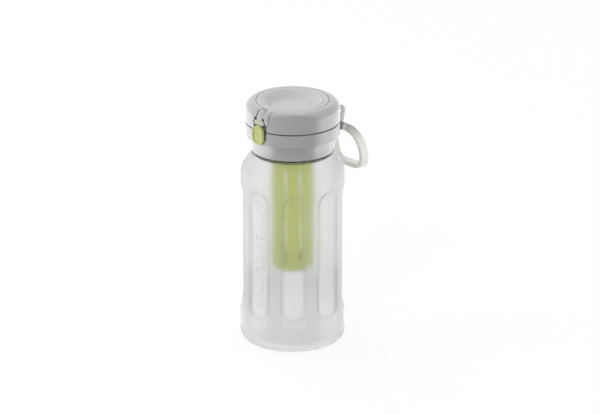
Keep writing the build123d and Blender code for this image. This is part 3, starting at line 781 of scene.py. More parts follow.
class BOTTLE_OT_body(BottleOperator):
    """Frosted body with its finger panels"""

    bl_idname = "bottle.body"
    bl_label = "Body"

    def build(self):
        outline = rounded(BODY_PROFILE)
        depth = millimetres(self.sizes.panel_depth)
        border = millimetres(self.sizes.panel_border)
        floor = PANEL_WIDTH / 2 - border
        rings = [(-border * across, -depth * down) for across, down in BORDER_STEPS]
        rings += [(-border - floor * share, -depth) for share in (0.3, 0.62, 1.0)]
        cell = (GRIP_R * math.pi / PANEL_COUNT, BAND_BOTTOM, BAND_TOP)
        sheet = slot_sheet(PANEL_WIDTH, PANEL_BOTTOM, PANEL_TOP, cell, 5, rings)
        band = wrapped(sheet, PANEL_COUNT, GRIP_R, lambda height: radius_at(outline, height))
        low_end = Vector((radius_at(outline, BAND_BOTTOM), BAND_BOTTOM))
        high_end = Vector((radius_at(outline, BAND_TOP), BAND_TOP))
        foot = [point for point in outline if point.y < BAND_BOTTOM] + [low_end]
        head = [high_end] + [point for point in outline if point.y > BAND_TOP]
        half_panel = math.pi / PANEL_COUNT
        ends = [spun(strip, closed=False, start=half_panel) for strip in (foot, head)]
        shell = thickened(gathered(band, *ends), BODY_WALL, BODY_SEAM)
        self.piece(shell, "frosted_body", "bottle", "frosted_body", "frosted", "bottle_shell")


# Figures stand one step of height apart, with marks between them
SCALE_FIGURES = ("150", "300", "450", "600")
SCALE_START = 8.9
SCALE_STEP = 29.6
TICKS_PER_STEP = 10
TICK_LONG = 9.6
TICK_SHORT = 8.0
TICK_HALF = 0.6
TICK_CORNER_R = 0.35
TICK_BEVEL = 0.15


class BOTTLE_OT_scale(BottleOperator):
    """Raised figures and marks of the volume scale"""

    bl_idname = "bottle.scale"
    bl_label = "Scale"

    def build(self):
        rise = millimetres(self.sizes.figure_rise)
        floor_r = GRIP_R - millimetres(self.sizes.panel_depth)
        size = millimetres(self.sizes.figure_height)
        shapes = []
        for k, figure in enumerate(SCALE_FIGURES, 1):
            shapes.append(self.figure(figure, size, SCALE_START + SCALE_STEP * k, rise))
        for k in range(TICKS_PER_STEP, TICKS_PER_STEP * len(SCALE_FIGURES)):
            # The figures take the room of the marks at and beside them.
            if k % TICKS_PER_STEP in (0, 1, TICKS_PER_STEP - 1):
                continue
            height = SCALE_START + SCALE_STEP * k / TICKS_PER_STEP
            half = (TICK_LONG if k % (TICKS_PER_STEP // 2) == 0 else TICK_SHORT) / 2
            tick = rectangle(-half, half, height - TICK_HALF, height + TICK_HALF, TICK_CORNER_R)
            shapes.append(prism("Z", tick, -rise / 2, rise, TICK_BEVEL))
        marks = cleaned(wrapped(gathered(*shapes), 1, floor_r, lambda height: floor_r))
        self.piece(marks, "volume_scale", "bottle", "frosted_body", "scale")

    def figure(self, text, size, height, rise):
        """Figure as a solid in X and Y, with its thickness along Z."""
        curve = bpy.data.curves.new(text, "FONT")
        curve.body = text
        curve.size = size
        curve.align_x = "CENTER"
        curve.align_y = "CENTER"
        curve.extrude = rise / 2
        curve.offset = 0.05
        curve.resolution_u = 4
        letters = bpy.data.objects.new(text, curve)
        bpy.context.scene.collection.objects.link(letters)
        mesh = bpy.data.meshes.new_from_object(letters)
        bpy.data.objects.remove(letters)
        bpy.data.curves.remove(curve)
        shape = bmesh.new()
        shape.from_mesh(mesh)
        bpy.data.meshes.remove(mesh)
        bmesh.ops.translate(shape, verts=shape.verts, vec=(0, height, rise / 2))
        return cleaned(shape)


# Length, section and thinned ends of a thread
THREAD_TURNS = 1.5
THREAD_RISE = 0.7
THREAD_ROOT = 0.4
THREAD_WIDTH = 2.0
THREAD_CREST = 0.9
THREAD_STEPS = 72
THREAD_FADE = 10


def thread(wall_r, side, start, pitch):
    """Helical thread on a wall, outside for side 1 and inside for -1, thinned at both ends."""
    rings = []
    steps = round(THREAD_TURNS * THREAD_STEPS)
    root = wall_r - side * THREAD_ROOT
    for k in range(steps + 1):
        angle = math.tau * THREAD_TURNS * k / steps
        fade = min(1, k / THREAD_FADE, (steps - k) / THREAD_FADE) ** 0.5
        crest = wall_r + side * THREAD_RISE * fade
        height = start + pitch * THREAD_TURNS * k / steps
        out = Vector((math.sin(angle), -math.cos(angle), 0))
        corners = [
            (root, -THREAD_WIDTH / 2), (crest, -THREAD_CREST / 2),
            (crest, THREAD_CREST / 2), (root, THREAD_WIDTH / 2),
        ]
        rings.append([out * radius + Vector((0, 0, height + up)) for radius, up in corners])
    return swept(rings)


class BOTTLE_OT_threads(BottleOperator):
    """Threads of the neck and the cap"""

    bl_idname = "bottle.threads"
    bl_label = "Threads"

    def build(self):
        pitch = millimetres(self.sizes.thread_pitch)
        neck = thread(NECK_R, 1, 171.0, pitch)
        self.piece(neck, "neck_thread", "bottle", "frosted_body", "frosted")
        cap = thread(COLLAR_BORE_R, -1, 173.0, pitch)
        self.piece(cap, "cap_thread", "cap", "smoke_plastic", "smoke")


class BOTTLE_OT_seals(BottleOperator):
    """Neck gasket, infuser seal ring and spout seal"""

    bl_idname = "bottle.seals"
    bl_label = "Seals"

    def build(self):
        gasket = spun(rectangle(28.0, 31.7, NECK_TOP, DECK_BOTTOM, 0.5))
        self.piece(gasket, "gasket", "gasket", "seal_silicone", "silicone", "neck_gasket")
        ring = spun(hole((14.2, 178.0), 0.85))
        self.piece(ring, "seal_ring", "seal_ring", "seal_silicone", "silicone", "infuser_seal")
        plug = turned([
            (0, 197.6, 0), (6.4, 197.6, 0.5), (6.8, 196.8, 0.2), (11.0, 196.8, 0.4),
            (11.0, 199.0, 0), (0, 199.0, 0),
        ])
        self.piece(plug, "spout_seal", "lid", "seal_silicone", "silicone", "lid_seal")


class BOTTLE_OT_cap(BottleOperator):
    """Cap base with its collar, flange, socket, hinge ears and button pocket"""

    bl_idname = "bottle.cap"
    bl_label = "Cap base"

    def build(self):
        cap = turned([
            # Collar and flange
            (COLLAR_BORE_R, 166.4, 0), (34.3, 166.4, 0.4), (34.3, 171.0, 14.0), (36.9, 179.2, 0.8),
            (FLANGE_R, 179.2, 0.9), (FLANGE_R, 190.3, 0.5),
            # Rim under the lid, and the deck inside it
            (35.0, 190.3, 0.4), (35.0, 192.0, 0.5), (33.4, 192.0, 0.5), (33.4, DECK_TOP, 1.2),
            (9.05, DECK_TOP, 0.3), (9.05, DECK_BOTTOM, 0),
            # Socket with the groove of its seal
            (12.6, DECK_BOTTOM, 0.8), (12.6, 174.0, 0.4), (15.1, 174.0, 0.6), (15.1, 177.1, 0),
            (13.3, 177.1, 0), (13.3, 178.9, 0), (15.1, 178.9, 0), (15.1, DECK_BOTTOM, 1.0),
            (COLLAR_BORE_R, DECK_BOTTOM, 1.2),
        ])
        arm = hulled(
            rod(KNUCKLE_R, HINGE_AXIS, *EAR_SPAN, 0.5),
            rod(3.6, LOOP_AXIS, *EAR_SPAN, 0.5),
        )
        web = prism("X", rectangle(34.4, 41.4, 179.0, 188.8), *EAR_SPAN, 0.4)
        core = prism("X", rectangle(0, 36.3, 170.0, 200.0), 0, 20.0)
        ear = combined("DIFFERENCE", combined("UNION", arm, web), core)
        cap = combined("UNION", cap, ear, flipped(ear))
        cap = combined(
            "DIFFERENCE", cap,
            rod(KNUCKLE_R + TURN_ROOM, HINGE_AXIS, -9.45, 9.45),
            rod(HINGE_PIN_R, HINGE_AXIS, -15.0, 15.0),
            *both_rods(POST_R, LOOP_AXIS, 13.4, 1),
            slot_tool(13.5, 178.9, 196.0, -50.0, -35.1),
            prism("Y", rectangle(-9.4, 9.4, 190.6, 195.0), -39.0, -16.7),
            rod(BUTTON_PIN_R, BUTTON_AXIS, -BUTTON_PIN_REACH, BUTTON_PIN_REACH),
        )
        self.piece(cap, "cap", "cap", "smoke_plastic", "smoke", "cap_base")
        # Painted shadow: a near-black ring in the gap under the collar, where shade falls
        lip = spun(rectangle(32.2, 34.15, 165.25, 166.6, 0.2))
        self.piece(lip, "collar_lip", "cap", "smoke_plastic", "dark_lip")


class BOTTLE_OT_spout(BottleOperator):
    """Drinking spout"""

    bl_idname = "bottle.spout"
    bl_label = "Spout"

    def build(self):
        spout = turned([
            (7.2, 168.0, 0.4), (9.0, 168.0, 0.4), (9.0, DECK_TOP, 0), (12.4, DECK_TOP, 0.3),
            (12.4, 189.6, 0.4), (9.0, 189.6, 0.7), (9.0, 194.1, 0.3), (9.7, 194.1, 0.3),
            (9.7, 196.5, 0.8), (7.2, 196.5, 0.7),
        ])
        self.piece(spout, "spout", "cap", "spout_plastic", "spout", "drink_spout")


INFUSER_R = 17.1
INFUSER_BORE_R = 15.45
INFUSER_BOTTOM = 63.5
INFUSER_TOP = 185.2
INFUSER_BAND = 70.55
INFUSER_SEAM = 0.01
SLOT_WIDTH = 3.4
SLOT_ROWS = ((71.5, 110.75), (113.75, 153.0))
SLOT_COLUMNS = 8
DRAIN_COUNT = 6
DRAIN_R = 1.5
DRAIN_CIRCLE_R = 8.5


class BOTTLE_OT_infuser(BottleOperator):
    """Slotted infuser tube and its end cap"""

    bl_idname = "bottle.infuser"
    bl_label = "Infuser"

    def build(self):
        middle = (SLOT_ROWS[0][1] + SLOT_ROWS[1][0]) / 2
        limits = (INFUSER_BAND + 0.3, middle, SLOT_ROWS[1][1] + SLOT_WIDTH / 2)
        half_column = math.pi / SLOT_COLUMNS
        parts = []
        for row, low, high in zip(SLOT_ROWS, limits, limits[1:]):
            sheet = slot_sheet(SLOT_WIDTH, *row, (INFUSER_R * half_column, low, high), 3)
            parts.append(
                wrapped(sheet, SLOT_COLUMNS, INFUSER_R, lambda height: INFUSER_R, half_column)
            )
        for heights in ((limits[2], 162.0, 174.0, INFUSER_TOP), (INFUSER_BAND, limits[0])):
            strip = [Vector((INFUSER_R, height)) for height in heights]
            parts.append(spun(strip, closed=False))
        tube = thickened(gathered(*parts), INFUSER_R - INFUSER_BORE_R, INFUSER_SEAM)
        self.piece(tube, "infuser_tube", "infuser", "infuser_green", "infuser", "infuser_basket")
        spigot = turned([
            (INFUSER_BORE_R, 65.1, 0.2), (16.27, 65.1, 0.3),
            (16.27, 70.6, 0), (INFUSER_BORE_R, 70.6, 0),
        ])
        self.piece(spigot, "infuser_spigot", "infuser", "infuser_green", "infuser")
        foot = turned([
            (0, INFUSER_BOTTOM, 0), (INFUSER_R, INFUSER_BOTTOM, 2.5), (INFUSER_R, 70.5, 0.3),
            (16.33, 70.5, 0.2), (16.33, 65.05, 0), (15.15, 65.05, 0), (15.15, 69.05, 0.3),
            (13.65, 69.05, 0.4), (13.65, 65.05, 0.5), (0, 65.05, 0),
        ])
        for k in range(DRAIN_COUNT):
            angle = math.tau * k / DRAIN_COUNT
            centre = (DRAIN_CIRCLE_R * math.cos(angle), DRAIN_CIRCLE_R * math.sin(angle))
            foot = combined("DIFFERENCE", foot, prism("Z", hole(centre, DRAIN_R), 60.0, 68.0))
        self.piece(
            foot, "infuser_foot", "infuser_foot", "infuser_green", "infuser", "infuser_end_cap"
        )


CLASP_RISE = 0.3
CLASP_THICKNESS = 2.1
CLASP_LEG_BOTTOM = 198.2
BOSS_RISE = 1.0
BOSS_HALF_WIDTH = 9.0


def strap_outline(rise, grow):
    """Side view of the clasp's strap over the lid's shoulder, grown by a clearance."""
    bend = (-(FLANGE_R - LID_ROUND_R), LID_TOP - LID_ROUND_R)
    outer_r = LID_ROUND_R + rise + grow
    inner_r = LID_ROUND_R + CLASP_RISE - CLASP_THICKNESS - grow
    reach = bend[0] - CLASP_AXIS[0]
    outer_stop = math.degrees(math.acos(-reach / outer_r))
    inner_stop = math.degrees(math.acos(-reach / inner_r))
    leg_bottom = CLASP_LEG_BOTTOM - grow
    outline = [Vector((bend[0] - outer_r, leg_bottom))]
    outline += arc(bend, outer_r, 180, outer_stop)
    outline += arc(bend, inner_r, inner_stop, 180)
    outline.append(Vector((bend[0] - inner_r, leg_bottom)))
    return outline


def front_part(shape, half_width):
    """The part of a turned solid that lies within a width at the front."""
    keep = prism("Y", rectangle(-half_width, half_width, 150.0, 250.0), -60.0, 0.0)
    return combined("INTERSECT", shape, keep)


class BOTTLE_OT_lid(BottleOperator):
    """Flip lid with its boss, notch, strap channel, catch and knuckles"""

    bl_idname = "bottle.lid"
    bl_label = "Lid"

    def build(self):
        lid = turned([
            (FLANGE_R, LID_BOTTOM, 0.5), (FLANGE_R, LID_TOP, LID_ROUND_R),
            (DISC_SEAT_R, LID_TOP, 0.35), (DISC_SEAT_R, DISC_SEAT, 0),
            (28.6, DISC_SEAT, 0), (28.6, LID_CEILING, 0),
            (37.15, LID_CEILING, 4.5), (37.15, LID_BOTTOM, 0.5),
        ])
        lid = combined("UNION", lid, *self.front())
        lid = combined("DIFFERENCE", lid, *self.clearings())
        catch = prism("Y", rectangle(-3.5, 3.5, 191.9, 193.5), -38.2, -35.2, 0.2)
        knuckle = hulled(
            rod(KNUCKLE_R, HINGE_AXIS, *KNUCKLE_SPAN, 0.5),
            prism("X", rectangle(37.65, 38.65, 192.3, 197.3), *KNUCKLE_SPAN, 0.2),
        )
        lid = combined("UNION", lid, catch, flipped(knuckle), knuckle)
        ear_rooms = [
            rod(KNUCKLE_R + TURN_ROOM, HINGE_AXIS, *span) for span in ((9.2, 14.7), (-14.7, -9.2))
        ]
        pin_hole = rod(HINGE_PIN_R + RUNNING_GAP, HINGE_AXIS, -9.3, 9.3)
        clasp_hole = rod(CLASP_PIN_R, CLASP_AXIS, -6.0, 6.0)
        lid = combined("DIFFERENCE", lid, *ear_rooms, pin_hole, clasp_hole)
        self.piece(lid, "lid", "lid", "smoke_plastic", "smoke", "lid_shell")
        self.top_disc()
        self.liner()

    def front(self):
        """What stands behind and before the lid's wall at the button."""
        block = turned([
            (34.2, LID_BOTTOM, 0), (38.15, LID_BOTTOM, 0), (38.15, LID_CEILING, 0),
            (31.4, LID_CEILING, 0), (31.4, 203.15, 0), (34.2, 201.35, 0),
        ])
        boss = turned([
            (38.15, 197.0, 0), (FLANGE_R + BOSS_RISE, 197.0, 0.9),
            (FLANGE_R + BOSS_RISE, LID_TOP, LID_ROUND_R), (32.65, LID_TOP, 0),
            (32.65, LID_CEILING, 0), (38.15, LID_CEILING, 0),
        ])
        return [front_part(shape, BOSS_HALF_WIDTH) for shape in (block, boss)]

    def clearings(self):
        """Room for the button, and for the clasp's strap, eye and swinging hood."""
        return [
            prism("Y", rectangle(-7.5, 7.5, 180.9, 201.5, 5.0), -50.0, -36.2),
            prism("X", strap_outline(CLASP_RISE + BOSS_RISE, 0.3), -3.55, 3.55),
            rod(1.9, CLASP_AXIS, -3.4, 3.4),
            prism("X", rectangle(-33.6, -31.7, 206.9, 210.9), -3.4, 3.4),
            combined(
                "DIFFERENCE",
                prism("X", rectangle(-44.3, -36.2, 200.4, 208.5), -5.75, 5.75),
                rod(7.1, CLASP_AXIS, -7.0, 7.0, sides=72),
            ),
        ]

    def top_disc(self):
        """Disc in the lid's top, with a dish and a fine groove round it."""
        top, groove, edge_r = 208.68, 208.28, 29.95
        disc = turned([
            (0, 203.8, 0), (17.5, 203.8, 3.0), (24.3, top, 0.35),
            (25.4, top, 0.08), (25.7, groove, 0.08), (26.1, groove, 0.08), (26.4, top, 0.08),
            (edge_r, top, 0.5), (edge_r, DISC_SEAT, 0),
            (25.2, DISC_SEAT, 0), (21.4, 202.05, 2.0), (0, 202.05, 0),
        ])
        self.piece(disc, "top_disc", "lid", "disc_plastic", "smoke_disc", "lid_top_disc")

    def liner(self):
        """Inner lid, with the holder of the spout's seal."""
        liner = turned([
            (0, 199.0, 0), (11.05, 199.0, 0), (11.05, 197.6, 0.3), (12.45, 197.6, 0.3),
            (12.45, 199.0, 0.4), (35.15, 199.0, 0.9), (35.15, 192.6, 0.4), (36.95, 192.6, 0.4),
            (36.95, 200.6, 0.9), (0, 200.6, 0),
        ])
        cut = prism("Y", rectangle(-9.2, 9.2, 180.0, 210.0), -45.0, -32.74)
        liner = combined("DIFFERENCE", liner, cut)
        self.piece(liner, "inner_lid", "lid", "liner_plastic", "inner", "lid_liner")


class BOTTLE_OT_clasp(BottleOperator):
    """Lock clasp: strap, hood and pin"""

    bl_idname = "bottle.clasp"
    bl_label = "Lock clasp"

    def build(self):
        strap = prism("X", strap_outline(CLASP_RISE, 0), -2.9, 2.9, 0.25)
        strap = combined("UNION", strap, rod(1.6, CLASP_AXIS, -3.1, 3.1, 0.2))
        strap = combined("DIFFERENCE", strap, rod(0.8, CLASP_AXIS, -4.0, 4.0))
        self.piece(strap, "clasp_strap", "clasp", "cream_plastic", "smoke", "lock_clasp")
        hood = prism("Y", rectangle(-5.45, 5.45, 196.4, 200.4, 1.8), -40.15, -37.15, 0.45)
        self.piece(hood, "clasp_hood", "clasp", "cream_plastic", "hood")
        pin = rod(CLASP_PIN_R, CLASP_AXIS, -6.0, 6.0, 0.1, 24)
        self.piece(pin, "clasp_axle", "lid", "pin_steel", "pin", "clasp_pin")


BUTTON_WIDTH = 12.5
BUTTON_BOTTOM, BUTTON_TOP = 179.3, 196.3
BUTTON_BACK = 39.6
BUTTON_CROWN = 41.9
BUTTON_THICKNESS = 1.4
BUTTON_UNDER = 0.2
BUTTON_EDGE_DROP = 0.9

# The button's face, as (distance grown, depth): a round rim, and a step down to its middle
BUTTON_FACE = (
    (0, 0.9), (-0.12, 1.15), (-0.4, 1.35), (-0.8, BUTTON_THICKNESS), (-1.5, BUTTON_THICKNESS),
    (-1.75, 1.3), (-1.95, 1.08), (-2.25, 1.0), (-4.2, 1.0), (-BUTTON_WIDTH / 2, 1.0),
)

BUTTON_COIL_START = (-35.35, 182.4)
BUTTON_COIL_R = 1.6
BUTTON_COIL_TURNS = 4
BUTTON_COIL_PITCH = 0.82
BUTTON_COIL_STEPS = 24


class BOTTLE_OT_button(BottleOperator):
    """Release button, its axle and its spring"""

    bl_idname = "bottle.button"
    bl_label = "Release button"

    def build(self):
        slot = Slot(BUTTON_WIDTH, BUTTON_TOP - BUTTON_BOTTOM)
        slot.rings(BUTTON_FACE)
        slot.rings(((-0.3, -BUTTON_UNDER), (-BUTTON_WIDTH / 2, -BUTTON_UNDER)))
        middle = (BUTTON_TOP + BUTTON_BOTTOM) / 2
        reach = (BUTTON_TOP - BUTTON_BOTTOM) / 2
        for vert in slot.shape.verts:
            x, up, depth = vert.co
            share = max(0, depth + BUTTON_UNDER) / (BUTTON_THICKNESS + BUTTON_UNDER)
            crown = BUTTON_CROWN - BUTTON_BACK - BUTTON_THICKNESS
            crown = (crown - BUTTON_EDGE_DROP * (up / reach) ** 2) * min(1, share)
            vert.co = (x, -(BUTTON_BACK + BUTTON_UNDER + depth + crown), up + middle)
        button = cleaned(slot.shape)
        self.piece(button, "button", "button", "lime_plastic", "button", "release_button")
        hub = combined(
            "UNION",
            rod(1.7, BUTTON_AXIS, -4.2, 4.2, 0.2),
            prism("Y", rectangle(-4.2, 4.2, 185.5, 188.9, 0.3), -39.9, -37.1),
        )
        hub = combined("DIFFERENCE", hub, rod(0.85, BUTTON_AXIS, -5.0, 5.0))
        self.piece(hub, "button_hub", "button", "lime_plastic", "button")
        nib = prism("Y", rectangle(-3.5, 3.5, 193.6, 195.2, 0.3), -39.9, -38.5, 0.15)
        self.piece(nib, "button_nib", "button", "lime_plastic", "button")
        pin = rod(BUTTON_PIN_R, BUTTON_AXIS, -BUTTON_PIN_REACH, BUTTON_PIN_REACH, 0.1, 24)
        self.piece(pin, "button_axle", "cap", "pin_steel", "pin", "button_pin")
        depth, height = BUTTON_COIL_START
        path = []
        for k in range(BUTTON_COIL_TURNS * BUTTON_COIL_STEPS + 1):
            angle = math.tau * k / BUTTON_COIL_STEPS
            across, up = BUTTON_COIL_R * math.cos(angle), BUTTON_COIL_R * math.sin(angle)
            advance = BUTTON_COIL_PITCH * k / BUTTON_COIL_STEPS
            path.append(Vector((across, depth - advance, height + up)))
        coil = wire(path, 0.25)
        self.piece(coil, "button_coil", "cap", "spring_steel", "wire", "button_spring")


HINGE_COIL_R = 3.1
HINGE_COIL_TURNS = 6
HINGE_COIL_PITCH = 1.2
HINGE_COIL_STEPS = 28


class BOTTLE_OT_hinge(BottleOperator):
    """Hinge pin and lid spring"""

    bl_idname = "bottle.hinge"
    bl_label = "Hinge"

    def build(self):
        pin = rod(HINGE_PIN_R, HINGE_AXIS, -14.1, 14.1, 0.3)
        self.piece(pin, "hinge_axle", "cap", "pin_steel", "pin", "hinge_pin")
        start = Vector((-HINGE_COIL_TURNS * HINGE_COIL_PITCH / 2, *HINGE_AXIS))
        path = []
        for k in range(HINGE_COIL_TURNS * HINGE_COIL_STEPS + 1):
            angle = math.tau * k / HINGE_COIL_STEPS - math.pi
            back, up = HINGE_COIL_R * math.cos(angle), HINGE_COIL_R * math.sin(angle)
            path.append(start + Vector((HINGE_COIL_PITCH * k / HINGE_COIL_STEPS, back, up)))
        leg = path[0] - (path[1] - path[0]).normalized() * 6.5
        tip = path[-1] + (path[-1] - path[-2]).normalized() * 1.8
        coil = wire([leg.lerp(path[0], k / 4) for k in range(4)] + path + [tip], 0.35)
        self.piece(coil, "hinge_coil", "lid", "spring_steel", "wire", "hinge_spring")


# The carry loop: a strap bent along an arc from the posts' axis, that closes in a bar
LOOP_CHORD = 50.5
LOOP_BOW = 8.5
LOOP_LEAN = math.radians(58.5)
LOOP_HALF_SPAN = 18.1
LOOP_CORNER_R = 9.5
LOOP_STRAP = 3.3
LOOP_BAR = 4.3
LOOP_START_HALF = 2.9
LOOP_END_HALF = 4.4
LOOP_EDGE_R = 0.8
LOOP_EYE_X = 16.45
LOOP_SIDE_STEPS = 25
LOOP_CORNER_STEPS = 12


class BOTTLE_OT_loop(BottleOperator):
    """Carry loop and its posts"""

    bl_idname = "bottle.loop"
    bl_label = "Carry loop"

    def build(self):
        self.radius = ((LOOP_CHORD / 2) ** 2 + LOOP_BOW ** 2) / (2 * LOOP_BOW)
        self.half_turn = math.asin(LOOP_CHORD / 2 / self.radius)
        self.arc_length = 2 * self.half_turn * self.radius
        rings = []
        for outer, inner in self.path():
            middle = (outer + inner) / 2
            side = (outer - inner) / 2
            share = max(0, min(1, middle.y / self.arc_length))
            half = LOOP_START_HALF + (LOOP_END_HALF - LOOP_START_HALF) * share
            section = rectangle(-side.length, side.length, -half, half, LOOP_EDGE_R)
            way = side.normalized()
            rings.append([
                self.bent(middle.x + way.x * a, middle.y + way.y * a, b) for a, b in section
            ])
        loop = swept(rings)
        loop = combined("UNION", loop, *both_rods(3.3, LOOP_AXIS, LOOP_EYE_X, 1.65, 0.5))
        holes = both_rods(POST_R + RUNNING_GAP, LOOP_AXIS, LOOP_EYE_X, 3)
        loop = combined("DIFFERENCE", loop, *holes)
        self.piece(loop, "loop_strap", "loop", "loop_grey", "loop", "carry_loop")
        post = combined(
            "UNION",
            rod(POST_R, LOOP_AXIS, 12.4, 18.6),
            rod(2.5, LOOP_AXIS, 18.4, 19.3, 0.35),
        )
        posts = gathered(flipped(post), post)
        self.piece(posts, "posts", "cap", "smoke_plastic", "post", "loop_posts")

    def path(self):
        """Outer and inner edge of the flat loop, from post to post."""
        corner_x = LOOP_HALF_SPAN - LOOP_CORNER_R
        outer_y = self.arc_length + LOOP_BAR / 2 - LOOP_CORNER_R
        inner_r = LOOP_CORNER_R - LOOP_STRAP
        inner_y = self.arc_length - LOOP_BAR / 2 - inner_r
        path = []
        for k in range(LOOP_SIDE_STEPS):
            share = k / LOOP_SIDE_STEPS
            outer = Vector((LOOP_HALF_SPAN, outer_y * share))
            inner = Vector((LOOP_HALF_SPAN - LOOP_STRAP, inner_y * share))
            path.append((outer, inner))
        for k in range(LOOP_CORNER_STEPS + 1):
            angle = math.pi / 2 * k / LOOP_CORNER_STEPS
            out = Vector((math.cos(angle), math.sin(angle)))
            outer = Vector((corner_x, outer_y)) + LOOP_CORNER_R * out
            inner = Vector((corner_x, inner_y)) + inner_r * out
            path.append((outer, inner))
        mirror = Vector((-1, 1))
        return path + [(outer * mirror, inner * mirror) for outer, inner in reversed(path)]

    def bent(self, x, along, across):
        """Where a point of the flat loop comes to lie once it is bent and leans out."""
        turn = -self.half_turn
        if along < self.arc_length:
            turn = self.half_turn - along / self.radius
        ahead = Vector((math.cos(turn), math.sin(turn)))
        out = Vector((-math.sin(turn), math.cos(turn)))
        centre = Vector((LOOP_CHORD / 2, LOOP_BOW - self.radius))
        point = centre + out * (self.radius + across)
        point += ahead * max(0, along - self.arc_length)
        back = LOOP_AXIS[0] + point.x * math.cos(LOOP_LEAN) + point.y * math.sin(LOOP_LEAN)
        up = LOOP_AXIS[1] - point.x * math.sin(LOOP_LEAN) + point.y * math.cos(LOOP_LEAN)
        return Vector((x, back, up))


# Stage

PICTURE_WIDTH = 600
PIXEL = 0.8245
CAMERA_SHIFT = 7.4
CAMERA_GOAL = 114.5
CAMERA_LENS = 1000.0
CAMERA_SENSOR = 36.0
LAMP_GOAL = 0.12
FLOOR_SIZE = 4000.0
FLOOR_CARD = (60.0, 2400.0, 1.0, 4.0)
LEANING_CARD_R = 1900.0
LEANING_CARD_RISE = 89
LEANING_CARD_START = math.radians(186)
LEANING_CARD_SWEEP = math.radians(168)
CARD_STEPS = 48
LEANING_CARD_STEPS = 28
FLOOR_PAPER = 1.6
LEANING_PAPER = 1.0
# Angles from the camera over which a card's cloth turns to paper, and its paper dims
CLOTH_ENDS = (math.radians(44), math.radians(82))
PAPER_DIMS = (math.radians(112), math.radians(160))
DIMMING = 0.25


def hide(made, *rays):
    """Hides an object from some kinds of rays."""
    for ray in rays:
        setattr(made, f"visible_{ray}", False)


